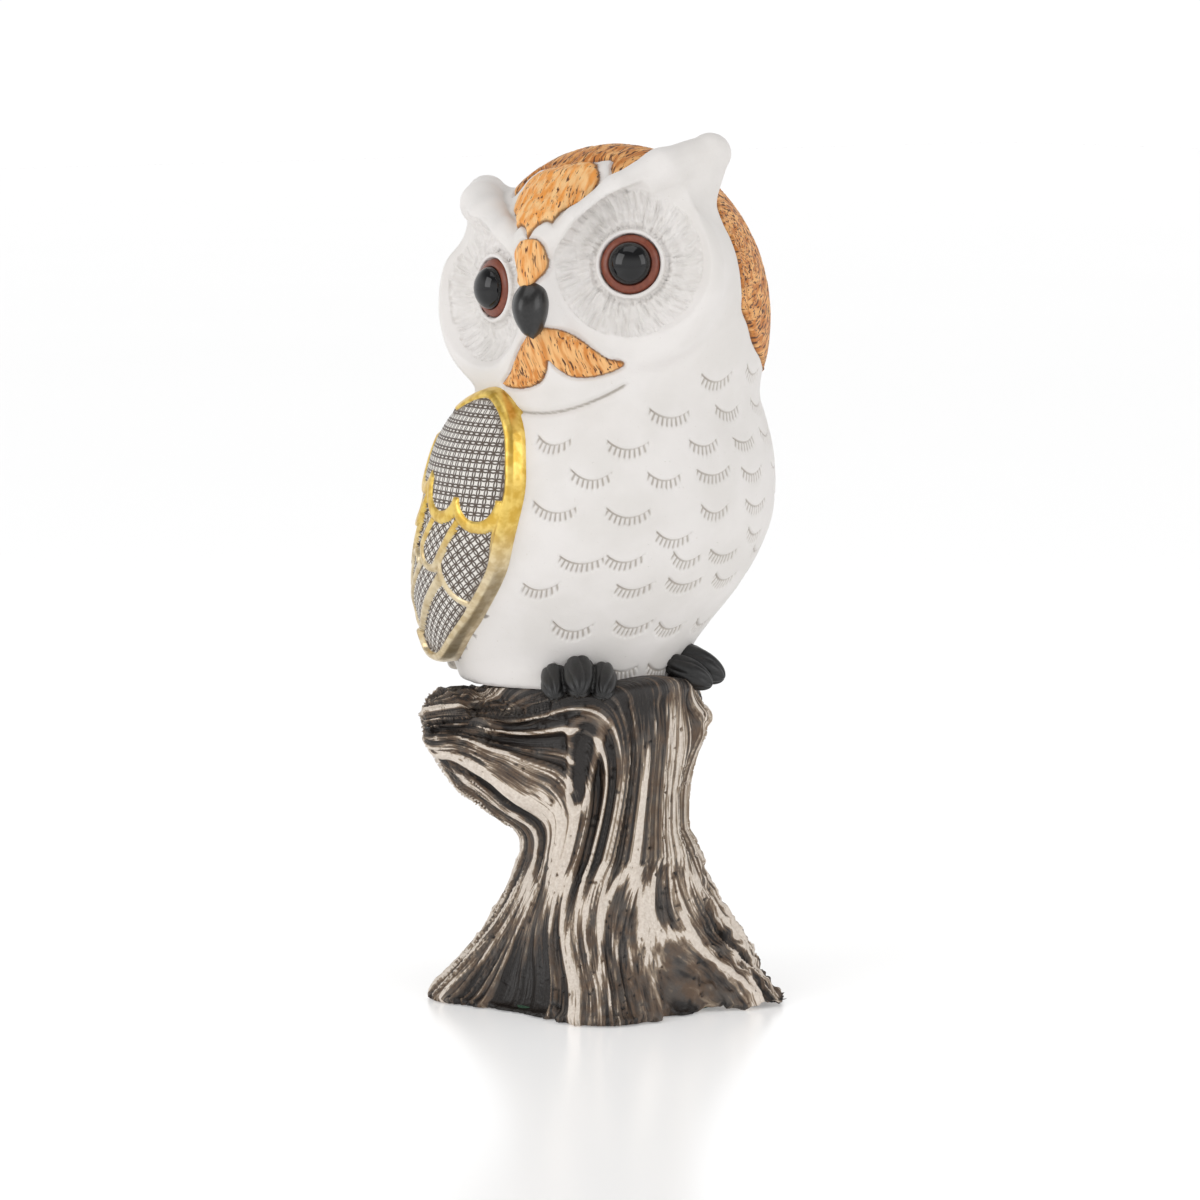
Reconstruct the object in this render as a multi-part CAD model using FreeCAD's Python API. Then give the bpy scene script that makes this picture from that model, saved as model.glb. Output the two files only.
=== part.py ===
import FreeCAD, Part
import math
import os

# Owl figurine: hand-painted cold-cast resin parts, glued and pinned together.
# Units are millimetres and +Z is up. The origin is on the surface that the base stands on, under the trunk.
# The owl's breast faces -Y, its left side is +X, and its head is turned towards its right.

Vector = FreeCAD.Vector
UP = Vector(0, 0, 1)

# ---- driving dimensions -------------------------------------------------------------------------

# stump
STUMP_TOP_Z = 93.0  # flat seat that the owl stands on
STUMP_PROUD = 0.3  # height of the stump's underside above the surface
ROOT_VALLEY_R = 42.0  # radius of the foot of the stump between two roots
ROOT_REACH = 16.0  # how much further each root tip reaches
TRUNK_NECK_R = 24.5  # thinnest place of the trunk
TRUNK_NECK_Z = 50.0
TRUNK_TOP_R = 31.0
TRUNK_TOP_SHIFT = 6.0  # the seat lies this far behind the trunk's axis
# heading of each root in degrees about +Z, counted from +X, how steeply it falls away, share of the reach
ROOTS = [(150.0, 1.9, 0.8), (230.0, 1.9, 1.0), (302.0, 0.8, 1.0), (12.0, 1.6, 0.9), (78.0, 1.8, 0.9)]
BRANCH_HEADING = 140.0
BRANCH_REACH = 55.0  # from the trunk's axis to the broken end
BRANCH_DROP = 15.0  # of the end's centre below the seat
BRANCH_R = 12.0
BRANCH_WIDEN = 1.25  # the branch is this much wider than it is deep
KNOT_HEADING = -44.0
KNOT_REACH = 31.0
KNOT_DROP = 14.0
KNOT_R = 9.0
HOLLOW_HEADING = 224.0  # the old knot hole in the bark
HOLLOW_DROP = 13.0  # of its upper end below the seat
HOLLOW_LENGTH = 23.0
HOLLOW_WIDTH = 6.0
HOLLOW_DEPTH = 7.0

# underside
PAD_R = 37.0
PAD_THICK = 1.5
PLUG_R = 31.0
PLUG_THICK = 3.0
LEDGE = 3.0  # width of the ledge that the plug rests on
CAVITY_TOP_R = 10.0
CAVITY_TOP_Z = 58.0

# owl body
BODY_HEIGHT = 85.0
BODY_WIDTH = 103.0
BODY_DEPTH = 95.0
BODY_WALL = 5.0
BODY_SETBACK = 16.0  # the foot of the body lies this far behind the trunk's axis
BODY_LEAN = 5.0  # the neck lies this far in front of it
NECK_SPIGOT_R = 22.0
NECK_SPIGOT_HEIGHT = 6.0
NECK_BORE_R = 13.0
TAIL_WIDTH = 36.0
TAIL_THICK = 11.0
TAIL_HEIGHT = 40.0
TAIL_REACH = 6.0  # how far it stands out behind the foot of the body

# wings
WING_THICK = 5.0
WING_HEIGHT = 79.0
WING_TOP_DROP = 0.5  # below the neck joint
WING_FRONT_Y = -22.0
WING_BACK_Y = 45.0
WING_SWEEP = 5.5  # the wing tips stand this much further back than the body does
RIM_WIDTH = 5.0
RIM_PROUD = 1.0

# head
HEAD_TURN = -72.0  # degrees about +Z, towards the owl's right
HEAD_TILT = -10.0  # degrees about the way it faces, its right side down
HEAD_CENTRE_RISE = 39.0  # above the neck joint
HEAD_HEIGHT = 72.0  # from the neck joint to the crown
SKULL_R = 44.0
HEAD_WALL = 6.0
EYE_SPREAD = 23.4  # from the middle of the face to each eye
EYE_INSET = 13.0  # how far the eyes lie behind the front of the skull
EYE_DROP = 3.4  # below the head's centre
EYE_SPLAY = 25.0  # degrees that each eye looks outwards
EYE_LIFT = 6.0  # degrees that each eye looks upwards
CUP_R = 27.0  # rim of the feathered cup round each eye
CUP_DEPTH = 24.0
CUP_RIM_RISE = 2.0  # of the rim in front of the eye's seat
CUP_DROP = 3.5  # of the cup's centre below the eye's
BOWL_R = 21.0
BOWL_DEPTH = 5.0
BOWL_FLARE = 0.35
EAR_SPREAD = 38.7
EAR_RISE = 30.0
EAR_FORWARD = 4.0
EAR_TIP_R = 4.5
BAND_R = 6.0  # brow band that runs from the beak to each ear tip
BAND_BULGE = 6.5  # how far the band bends round the forehead
RIDGE_WIDTH = 12.0
RIDGE_PROUD = 6.0  # the ridge above the beak stands this far in front of the skull

# eyes
IRIS_R = 8.5
IRIS_THICK = 5.0
PUPIL_R = 6.2
PUPIL_DOME = 4.6
PUPIL_DEPTH = 4.0

# beak
BEAK_LENGTH = 16.5
BEAK_WIDTH = 10.0
BEAK_THICK = 11.0
BEAK_DROP = 4.0  # of its upper end below the head's centre
BEAK_SINK = 2.0  # its middle lies this far behind the front of the ridge

# feet
FOOT_SPREAD = 45.0
FOOT_FORWARD = 14.5
FOOT_SPLAY = 40.0  # degrees that each foot points outwards
TOE_LENGTH = 19.0
TOE_WIDTH = 9.5
SIDE_TOE_SHARE = 0.85  # size of the two side toes against the middle one
TOE_LIFT = 5.0  # centre of the toes above the seat

# pins and clearances
PIN_R = 3.0
PIN_LENGTH = 26.0
PIN_SPREAD = 26.0
PIN_BOSS_R = 7.0
FIT_GAP = 0.1  # radial, round the pins, spigot, plug, pad and eyes
GLUE_GAP = 0.15  # glue line between castings

SEAT_Z = STUMP_TOP_Z
NECK_Z = SEAT_Z + BODY_HEIGHT
HEAD_AXIS_Y = -BODY_LEAN
HEAD_CENTRE_Z = NECK_Z + HEAD_CENTRE_RISE
RIDGE_FORWARD = SKULL_R + RIDGE_PROUD
EYE_FORWARD = SKULL_R - EYE_INSET


# ---- helpers ------------------------------------------------------------------------------------


def direction(heading):
    """Level unit vector at a heading in degrees about +Z."""
    a = math.radians(heading)
    return Vector(math.cos(a), math.sin(a), 0)


def closed_curve(points):
    """One smooth closed wire through the points."""
    curve = Part.BSplineCurve()
    curve.interpolate(Points=points, PeriodicFlag=True)
    return Part.Wire(curve.toShape())


def oval(centre, half_x, half_y, across=Vector(1, 0, 0), along=Vector(0, 1, 0), count=16):
    """Closed oval in the plane of across and along."""
    turn = [2 * math.pi * i / count for i in range(count)]
    return closed_curve(
        [centre + across * (half_x * math.cos(t)) + along * (half_y * math.sin(t)) for t in turn]
    )


def loft(wires):
    return Part.makeLoft(wires, True)


def cylinder(radius, low, high, x=0.0, y=0.0):
    return Part.makeCylinder(radius, high - low, Vector(x, y, low), UP)


def turned(profile, centre=Vector(0, 0, 0)):
    """Solid of revolution about +Z from (radius, height) points joined by straight lines."""
    points = [Vector(r, 0, h) for r, h in profile]
    face = Part.Face(Part.makePolygon(points + points[:1]))
    solid = face.revolve(Vector(0, 0, 0), UP, 360)
    solid.translate(centre)
    return solid


def spheroid(long_half, round_half):
    """Long egg shape about +Z."""
    ellipse = Part.Ellipse(Vector(0, 0, long_half), Vector(round_half, 0, 0), Vector(0, 0, 0))
    turn = [ellipse.parameter(Vector(0, 0, end)) for end in (-long_half, long_half)]
    arc = Part.ArcOfEllipse(ellipse, min(turn), max(turn))
    axis = Part.LineSegment(arc.EndPoint, arc.StartPoint)
    face = Part.Face(Part.Wire([arc.toShape(), axis.toShape()]))
    return face.revolve(Vector(0, 0, 0), UP, 360)


def pointed(shape, heading_vector, centre):
    """Copy of a shape made about +Z, with that axis turned to heading_vector and moved to centre."""
    moved = shape.copy()
    rotation = FreeCAD.Rotation(UP, heading_vector)
    moved.Placement = FreeCAD.Placement(centre, rotation)
    return moved


def mirrored(shape):
    """The same piece for the other side of the owl."""
    return shape.mirror(Vector(0, 0, 0), Vector(1, 0, 0))


def one_solid(shape):
    """The largest solid of a boolean's result."""
    return max(shape.Solids, key=lambda s: s.Volume)


# ---- stump --------------------------------------------------------------------------------------


def root_reach(angle, height):
    """How far the roots reach at a heading, from 1 at a tip on the ground to 0 at the neck."""
    total = 0.0
    for heading, fall, share in ROOTS:
        off = (math.degrees(angle) - heading + 180) % 360 - 180
        total += share * math.exp(-((off / 23.0) ** 2)) * (1 - height) ** fall
    return min(total, 1.0)


def trunk_section(z, radius, height, shift):
    count = 40
    turn = [2 * math.pi * i / count for i in range(count)]
    radii = [radius + ROOT_REACH * root_reach(t, height) for t in turn]
    return closed_curve(
        [Vector(r * math.cos(t), shift + r * math.sin(t), z) for t, r in zip(turn, radii)]
    )


def trunk():
    """Flared trunk: roots at the foot, a neck, and the seat."""
    wires = []
    for height in (0.0, 0.13, 0.3, 0.5, 0.75, 1.0):
        z = STUMP_PROUD + height * (TRUNK_NECK_Z - STUMP_PROUD)
        flare = (1 - height) ** 1.8
        radius = TRUNK_NECK_R + flare * (ROOT_VALLEY_R - TRUNK_NECK_R)
        wires.append(trunk_section(z, radius, height, 0))
    for share in (0.35, 0.7, 1.0):
        z = TRUNK_NECK_Z + share * (STUMP_TOP_Z - TRUNK_NECK_Z)
        radius = TRUNK_NECK_R + share * (TRUNK_TOP_R - TRUNK_NECK_R)
        wires.append(trunk_section(z, radius, 1.0, share * TRUNK_TOP_SHIFT))
    return loft(wires)


def arm(heading, reach, end_z, radius, widen, droop):
    """Broken branch that leaves the trunk upwards and bends to level at its rounded end."""
    out = direction(heading)
    side = UP.cross(out)
    # share of the reach, share of the droop, size
    stations = [(0.15, 0.55, 1.6), (0.32, 0.5, 1.75), (0.5, 0.3, 1.6), (0.65, 0.12, 1.3)]
    stations += [(0.8, 0.02, 1.08), (0.93, 0.0, 0.98), (0.98, 0.0, 0.88), (1.0, 0.0, 0.66)]
    wires = []
    for along, drop, size in stations:
        lean = math.radians(30 * drop)
        up = UP * math.cos(lean) - out * math.sin(lean)
        centre = out * (along * reach) + UP * (end_z - drop * droop)
        wires.append(oval(centre, min(size, 1.05) * radius * widen, size * radius, side, up))
    return loft(wires)


def knot_hole():
    high = SEAT_Z - HOLLOW_DROP
    low = high - HOLLOW_LENGTH
    radius = HOLLOW_WIDTH / 2
    out = direction(HOLLOW_HEADING)
    wall = TRUNK_NECK_R + (TRUNK_TOP_R - TRUNK_NECK_R) * 0.5
    tools = []
    for z in (low + radius, high - radius):
        start = out * (wall - HOLLOW_DEPTH) + UP * z
        tools.append(Part.makeCylinder(radius, 2 * HOLLOW_DEPTH, start, out))
    box = Part.makeBox(2 * HOLLOW_DEPTH, HOLLOW_WIDTH, high - low - HOLLOW_WIDTH)
    box.translate(Vector(wall - HOLLOW_DEPTH, -radius, low + radius))
    box.rotate(Vector(0, 0, 0), UP, HOLLOW_HEADING)
    return tools[0].fuse([tools[1], box])


def pin_places():
    centre_y = BODY_SETBACK * 0.5
    return [(side * PIN_SPREAD / 2, centre_y) for side in (-1, 1)]


def pins(radius, low, high):
    return [cylinder(radius, low, high, x, y) for x, y in pin_places()]


def stump():
    branch = arm(BRANCH_HEADING, BRANCH_REACH, SEAT_Z - BRANCH_DROP, BRANCH_R, BRANCH_WIDEN, 2 * BRANCH_R)
    knot = arm(KNOT_HEADING, KNOT_REACH, SEAT_Z - KNOT_DROP, KNOT_R, 1.0, 2 * KNOT_R)
    solid = trunk().fuse([branch, knot])
    solid = solid.common(cylinder(3 * ROOT_VALLEY_R, STUMP_PROUD, SEAT_Z))
    plug_low = PAD_THICK
    plug_high = PAD_THICK + PLUG_THICK
    cavity_r = PLUG_R - LEDGE
    cavity_profile = [(0, plug_high), (cavity_r, plug_high), (cavity_r, plug_high + LEDGE)]
    cavity_profile += [(CAVITY_TOP_R, CAVITY_TOP_Z), (0, CAVITY_TOP_Z)]
    cuts = [
        cylinder(PAD_R + FIT_GAP, 0, PAD_THICK),
        cylinder(PLUG_R + FIT_GAP, plug_low, plug_high),
        turned(cavity_profile),
        knot_hole(),
    ]
    cuts += pins(PIN_R + FIT_GAP, SEAT_Z - PIN_LENGTH / 2, SEAT_Z)
    return one_solid(solid.cut(cuts))


def base_plug():
    return cylinder(PLUG_R, PAD_THICK, PAD_THICK + PLUG_THICK)


def felt_pad():
    return cylinder(PAD_R, 0, PAD_THICK)


# ---- body ---------------------------------------------------------------------------------------

# share of the height, share of the width and depth, share of the way from setback to lean
BODY_SHAPE = [
    (0.0, 0.69, 0.0),
    (0.1, 0.73, 0.0),
    (0.2, 0.81, 0.1),
    (0.31, 0.9, 0.27),
    (0.43, 0.965, 0.48),
    (0.56, 1.0, 0.66),
    (0.7, 0.99, 0.78),
    (0.82, 0.955, 0.84),
    (0.92, 0.89, 0.92),
    (1.0, 0.845, 1.0),
]


def body_y(share):
    return BODY_SETBACK - share * (BODY_SETBACK + BODY_LEAN)


def body_loft(grow, low_trim=0.0, high_trim=0.0):
    """The body's outer shape, grown by a distance and shortened at its ends."""
    wires = []
    for height, size, lean in BODY_SHAPE:
        z = SEAT_Z + low_trim + height * (BODY_HEIGHT - low_trim - high_trim)
        half_x = size * BODY_WIDTH / 2 + grow
        half_y = size * BODY_DEPTH / 2 + grow
        wires.append(oval(Vector(0, body_y(lean), z), half_x, half_y))
    return loft(wires)


def body():
    outer = body_loft(0)
    cavity = body_loft(-BODY_WALL, BODY_WALL, BODY_WALL)
    boss_top = SEAT_Z + PIN_LENGTH / 2 + BODY_WALL
    shell = outer.cut(cavity).fuse(pins(PIN_BOSS_R, SEAT_Z, boss_top))
    spigot = cylinder(NECK_SPIGOT_R, NECK_Z - 1, NECK_Z + NECK_SPIGOT_HEIGHT, y=HEAD_AXIS_Y)
    shell = shell.fuse(spigot)
    bore = cylinder(NECK_BORE_R, NECK_Z - 2 * BODY_WALL, NECK_Z + NECK_SPIGOT_HEIGHT, y=HEAD_AXIS_Y)
    return one_solid(shell.cut([bore] + pins(PIN_R + FIT_GAP, SEAT_Z, SEAT_Z + PIN_LENGTH / 2)))


def body_pins():
    low = SEAT_Z - PIN_LENGTH / 2
    high = SEAT_Z + PIN_LENGTH / 2
    return Part.makeCompound(pins(PIN_R, low, high))


def tail():
    """Broad tail slab behind the foot of the body."""
    back = BODY_SETBACK + BODY_SHAPE[0][1] * BODY_DEPTH / 2
    end_y = back + TAIL_REACH - TAIL_THICK / 2
    wires = []
    for share, wide, lean in ((0.0, 0.86, 0.0), (0.3, 1.0, 0.5), (0.65, 0.95, 0.0), (1.0, 0.6, -4.0)):
        z = SEAT_Z + GLUE_GAP + share * TAIL_HEIGHT
        half_thick = TAIL_THICK / 2 + 3 * (1 - share)
        wires.append(oval(Vector(0, end_y + lean, z), wide * TAIL_WIDTH / 2, half_thick))
    return one_solid(loft(wires).cut(body_loft(GLUE_GAP)))


# ---- wings --------------------------------------------------------------------------------------


def wing_envelope(thick):
    """Grown body shape that stands further back towards the wing tips."""
    wires = []
    for height, size, lean in BODY_SHAPE:
        sweep = WING_SWEEP * max(0.0, 1 - height / 0.6)
        grow = thick * min(1.0, 0.3 + (1 - height) * 3) + 0.25 * sweep
        half_x = size * BODY_WIDTH / 2 + grow
        half_y = size * BODY_DEPTH / 2 + grow
        centre = Vector(0, body_y(lean) + sweep, SEAT_Z + height * BODY_HEIGHT)
        wires.append(oval(centre, half_x, half_y))
    return loft(wires)


def wing_outline(inset):
    """Side view of the folded wing, drawn in by a distance."""
    # share from front to back, share from top to tip
    shares = [(0.36, 0.0), (0.15, 0.045), (0.04, 0.145), (0.0, 0.26), (0.025, 0.39), (0.1, 0.54)]
    shares += [(0.19, 0.65), (0.35, 0.78), (0.52, 0.885), (0.7, 0.98), (0.83, 1.0), (0.94, 0.95)]
    shares += [(0.99, 0.72), (1.0, 0.48), (0.93, 0.24), (0.7, 0.06)]
    width = WING_BACK_Y - WING_FRONT_Y
    top = NECK_Z - WING_TOP_DROP
    middle = Vector(0, (WING_FRONT_Y + WING_BACK_Y) / 2, top - WING_HEIGHT / 2)
    points = []
    for back, down in shares:
        corner = Vector(0, WING_FRONT_Y + back * width, top - down * WING_HEIGHT)
        inwards = middle - corner
        points.append(corner + inwards * (inset / inwards.Length))
    return closed_curve(points)


def wing():
    """The right wing: a plate that follows the body, with a raised rim."""
    reach = Vector(-BODY_WIDTH, 0, 0)
    plate = wing_envelope(WING_THICK).common(Part.Face(wing_outline(0)).extrude(reach))
    rim = wing_envelope(WING_THICK + RIM_PROUD).common(Part.Face(wing_outline(0)).extrude(reach))
    rim = rim.cut(Part.Face(wing_outline(RIM_WIDTH)).extrude(reach))
    return one_solid(plate.fuse(rim).cut(body_loft(GLUE_GAP)))


# ---- head ---------------------------------------------------------------------------------------


def head_place(shape):
    """Turns a shape from the head's own frame, which faces -Y about its centre, into place."""
    tilt = FreeCAD.Rotation(Vector(0, 1, 0), HEAD_TILT)
    turn = FreeCAD.Rotation(UP, HEAD_TURN)
    placement = FreeCAD.Placement(Vector(0, HEAD_AXIS_Y, HEAD_CENTRE_Z), turn.multiply(tilt))
    moved = shape.copy()
    moved.Placement = placement.multiply(moved.Placement)
    return moved


def skull(shrink=0.0):
    """Dome above the neck joint, a solid of revolution about the neck's axis."""
    top = NECK_Z + HEAD_HEIGHT - shrink
    low = NECK_Z + shrink
    neck = BODY_SHAPE[-1][1] * (BODY_WIDTH + BODY_DEPTH) / 4 - shrink
    wide = SKULL_R - shrink
    points = [
        Vector(neck, 0, low),
        Vector(wide, 0, NECK_Z + 0.26 * HEAD_HEIGHT),
        Vector(wide * 0.955, 0, NECK_Z + 0.52 * HEAD_HEIGHT),
        Vector(wide * 0.78, 0, NECK_Z + 0.77 * HEAD_HEIGHT - 0.3 * shrink),
        Vector(wide * 0.44, 0, NECK_Z + 0.94 * HEAD_HEIGHT - 0.8 * shrink),
        Vector(0, 0, top),
    ]
    curve = Part.BSplineCurve()
    curve.interpolate(Points=points, InitialTangent=Vector(0.2, 0, 1), FinalTangent=Vector(-1, 0, 0))
    lines = [
        Part.LineSegment(points[-1], Vector(0, 0, low)).toShape(),
        Part.LineSegment(Vector(0, 0, low), points[0]).toShape(),
    ]
    solid = Part.Face(Part.Wire([curve.toShape()] + lines)).revolve(Vector(0, 0, 0), UP, 360)
    solid.translate(Vector(0, HEAD_AXIS_Y, 0))
    return solid


def eye_axis(side):
    splay = math.radians(EYE_SPLAY)
    lift = math.radians(EYE_LIFT)
    return Vector(side * math.sin(splay) * math.cos(lift), -math.cos(splay) * math.cos(lift), math.sin(lift))


def eye_centre(side):
    return Vector(side * EYE_SPREAD, -EYE_FORWARD, -EYE_DROP)


def cup_centre(side):
    """Middle of the cup's rim, in the head's frame."""
    return eye_centre(side) + eye_axis(side) * CUP_RIM_RISE - UP * CUP_DROP


def cup(side):
    """Rounded disc that flares to the rim round one eye."""
    profile = [
        (0, -CUP_DEPTH), (CUP_R * 0.72, -CUP_DEPTH), (CUP_R * 0.97, -CUP_DEPTH * 0.28),
        (CUP_R, -2.4), (CUP_R - 1.2, -0.6), (CUP_R - 3.4, 0), (0, 0),
    ]
    return pointed(turned(profile), eye_axis(side), cup_centre(side))


def bowl(side):
    """Hollow in front of the cup that leaves a rounded rim, with a flat for the eye at its floor."""
    clear = RIDGE_FORWARD
    profile = [(0, clear), (BOWL_R + BOWL_FLARE * clear, clear), (BOWL_R, 0)]
    profile += [(IRIS_R + 3, -BOWL_DEPTH), (0, -BOWL_DEPTH)]
    return pointed(turned(profile), eye_axis(side), cup_centre(side) + UP * (CUP_DROP / 2))


def ear_tip(side):
    return Vector(side * EAR_SPREAD, -EAR_FORWARD, EAR_RISE - EAR_TIP_R)


def swept_ovals(start, end, sizes, bulge=Vector(0, 0, 0)):
    """Loft of ovals from start to end; sizes holds (share of the way, half width, half depth)."""
    path = end - start
    out = path * (1 / path.Length)
    across = out.cross(Vector(0, 1, 0)).normalize()
    depth = across.cross(out)
    wires = []
    for share, wide, deep in sizes:
        centre = start + path * share + bulge * (4 * share * (1 - share))
        wires.append(oval(centre, wide, deep, across, depth))
    return loft(wires)


def ear(side):
    """Ear tuft from the cup's upper rim to its rounded tip."""
    tip = ear_tip(side)
    root = eye_centre(side) + Vector(0, EYE_INSET + 3.0, CUP_R * 0.25)
    sizes = [(0.0, 21, 13), (0.35, 17, 11), (0.7, 10, 7.5), (1.0, EAR_TIP_R + 0.6, EAR_TIP_R)]
    return swept_ovals(root, tip, sizes).fuse(Part.makeSphere(EAR_TIP_R, tip))


def brow_band(side):
    """Broad band from the ridge above the beak to the ear tip."""
    start = Vector(side * 2.0, BAND_R + 1.0 - RIDGE_FORWARD, 1.0)
    sizes = [(0.0, BAND_R * 0.8, BAND_R), (0.25, BAND_R, BAND_R), (0.5, BAND_R * 1.2, BAND_R)]
    sizes += [(0.75, BAND_R * 1.1, BAND_R), (1.0, EAR_TIP_R * 0.7, EAR_TIP_R * 0.7)]
    return swept_ovals(start, ear_tip(side), sizes, Vector(side * 0.3, -1, 0.3) * BAND_BULGE)


def face_ridge():
    """Ridge that runs down the middle of the face to the beak and the chin."""
    # height from the head's centre, how far behind the front of the ridge, share of the width
    rows = [(24, 24, 1.2), (17, 13.5, 2.1), (9, 5, 1.6), (-1, 1, 0.95), (-9, 0, 0.9), (-18, 2, 1.1)]
    rows += [(-27, 6, 1.7), (-34, 9, 2.2)]
    deep = RIDGE_WIDTH
    half = RIDGE_WIDTH / 2
    front = deep - RIDGE_FORWARD
    return loft([oval(Vector(0, front + back, z), share * half, deep) for z, back, share in rows])


def eye_seat(side):
    depth = IRIS_THICK - 1.0
    return pointed(cylinder(IRIS_R + FIT_GAP, -depth, RIDGE_FORWARD), eye_axis(side), eye_centre(side))


def head_outer():
    """Outside of the head, with a bowl round each eye and nothing hollowed out behind them."""
    sides = (-1, 1)
    solid = skull().fuse([head_place(cup(side)) for side in sides])
    solid = solid.cut([head_place(bowl(side)) for side in sides])
    raised = [head_place(ear(side).cut(bowl(side))) for side in sides]
    raised += [head_place(brow_band(side)) for side in sides]
    raised.append(head_place(face_ridge()))
    for shape in raised:
        solid = solid.fuse(shape)
    solid = solid.cut(cylinder(3 * SKULL_R, NECK_Z - SKULL_R, NECK_Z))
    return solid.cut([head_place(eye_seat(side)) for side in sides])


def head(outer):
    cavity = skull(2.2 * HEAD_WALL)
    socket = cylinder(NECK_SPIGOT_R + FIT_GAP, NECK_Z, NECK_Z + 3 * HEAD_WALL, y=HEAD_AXIS_Y)
    return one_solid(outer.cut([cavity, socket]))


def iris(side):
    """Ring of the glass eye, with a slightly domed front."""
    back = -(IRIS_THICK - 1.0)
    hole = PUPIL_R + FIT_GAP / 2
    profile = [(hole, back), (IRIS_R - 0.4, back), (IRIS_R, back + 0.4), (IRIS_R, 0.2)]
    profile += [(IRIS_R - 0.7, 0.9), (hole, 1.3)]
    return head_place(pointed(turned(profile), eye_axis(side), eye_centre(side)))


def pupil(side):
    """Domed bead in the middle of the eye."""
    back = -(PUPIL_DEPTH - 0.2)
    steps = 8
    dome = [
        (PUPIL_R * math.cos(math.pi / 2 * i / steps), 1.0 + PUPIL_DOME * math.sin(math.pi / 2 * i / steps))
        for i in range(steps)
    ]
    points = [Vector(r, 0, h) for r, h in dome + [(0, 1.0 + PUPIL_DOME)]]
    curve = Part.BSplineCurve()
    curve.interpolate(Points=points, InitialTangent=UP, FinalTangent=Vector(-1, 0, 0))
    corners = [points[-1], Vector(0, 0, back), Vector(PUPIL_R, 0, back), points[0]]
    edges = [Part.LineSegment(a, b).toShape() for a, b in zip(corners, corners[1:])]
    bead = Part.Face(Part.Wire([curve.toShape()] + edges)).revolve(Vector(0, 0, 0), UP, 360)
    return head_place(pointed(bead, eye_axis(side), eye_centre(side)))


def beak(outer):
    """Hooked teardrop on the end of the ridge."""
    # share of the length, share of the width, share of the thickness
    rows = [(0.0, 0.3, 0.25), (0.14, 0.78, 0.72), (0.32, 1.0, 1.0), (0.55, 0.97, 1.0)]
    rows += [(0.76, 0.72, 0.8), (0.92, 0.38, 0.45), (1.0, 0.14, 0.16)]
    wires = []
    for share, wide, thick in rows:
        hook = BEAK_SINK - 2.5 * math.sin(math.pi / 2 * share)
        centre = Vector(0, hook - RIDGE_FORWARD, -BEAK_DROP - share * BEAK_LENGTH)
        wires.append(oval(centre, wide * BEAK_WIDTH / 2, thick * BEAK_THICK / 2))
    seat = outer.copy()
    seat.translate(head_place(Part.Vertex(Vector(0, -GLUE_GAP, 0))).Point - Vector(0, HEAD_AXIS_Y, HEAD_CENTRE_Z))
    return one_solid(head_place(loft(wires)).cut([outer, seat]))


# ---- feet ---------------------------------------------------------------------------------------


def foot(side, stump_solid):
    """Three curled toes that grip the edge of the seat."""
    centre = Vector(side * FOOT_SPREAD / 2, -FOOT_FORWARD, SEAT_Z + TOE_LIFT)
    ahead = direction(270 + side * FOOT_SPLAY)
    across = UP.cross(ahead)
    claw = None
    for place in (-1, 0, 1):
        size = 1.0 if place == 0 else SIDE_TOE_SHARE
        toe = spheroid(size * TOE_LENGTH / 2, size * TOE_WIDTH / 2)
        spot = centre + across * (place * TOE_WIDTH * 0.74)
        spot = spot - ahead * (abs(place) * 1.5) - UP * (abs(place) * 1.8)
        toe = pointed(toe, ahead - UP * 0.55, spot)
        claw = toe if claw is None else claw.fuse(toe)
    clear = [body_loft(GLUE_GAP, -GLUE_GAP)]
    for step in (UP, ahead, across, across * -1):
        copy = stump_solid.copy()
        copy.translate(step * GLUE_GAP)
        clear.append(copy)
    for tool in clear:
        claw = claw.cut(tool)
    return one_solid(claw)


# ---- all the pieces -----------------------------------------------------------------------------


def main():
    os.makedirs("parts", exist_ok=True)
    stump_solid = stump()
    body_solid = body()
    outer = head_outer()
    pieces = {
        "stump": stump_solid,
        "base_plug": base_plug(),
        "felt_pad": felt_pad(),
        "body": body_solid,
        "body_pins": body_pins(),
        "tail": tail(),
        "head": head(outer),
        "beak": beak(outer),
    }
    right_wing = wing()
    pieces["wing_right"] = right_wing
    pieces["wing_left"] = mirrored(right_wing)
    for name, side in (("right", -1), ("left", 1)):
        pieces["foot_" + name] = foot(side, stump_solid)
        pieces["iris_" + name] = iris(side)
        pieces["pupil_" + name] = pupil(side)
    for name, shape in pieces.items():
        shape.exportStep(f"parts/{name}.step")


main()
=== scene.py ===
import math

import bmesh
import bpy
import numpy as np
from bpy.props import FloatProperty, PointerProperty, StringProperty
from mathutils import Matrix, Vector


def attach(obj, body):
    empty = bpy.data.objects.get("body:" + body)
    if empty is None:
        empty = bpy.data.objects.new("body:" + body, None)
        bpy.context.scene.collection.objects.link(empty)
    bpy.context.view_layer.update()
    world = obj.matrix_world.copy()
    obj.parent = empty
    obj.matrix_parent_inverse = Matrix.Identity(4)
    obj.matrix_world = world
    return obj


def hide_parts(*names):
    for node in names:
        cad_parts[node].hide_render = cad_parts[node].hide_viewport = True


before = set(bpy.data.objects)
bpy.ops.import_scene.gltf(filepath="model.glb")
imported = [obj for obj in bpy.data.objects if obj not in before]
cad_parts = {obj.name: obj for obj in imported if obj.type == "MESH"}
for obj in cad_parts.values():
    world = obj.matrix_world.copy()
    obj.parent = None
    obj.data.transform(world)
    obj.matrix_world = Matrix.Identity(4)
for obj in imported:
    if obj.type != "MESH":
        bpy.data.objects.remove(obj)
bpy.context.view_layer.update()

# Looks of a hand-painted resin owl that stands on a tree stump. Shapes are worked out in
# millimetres and written to the meshes in metres. The breast faces -Y, the owl's left is +X and
# the head is turned to the owl's right. Forms are signed distances, negative inside.

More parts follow.
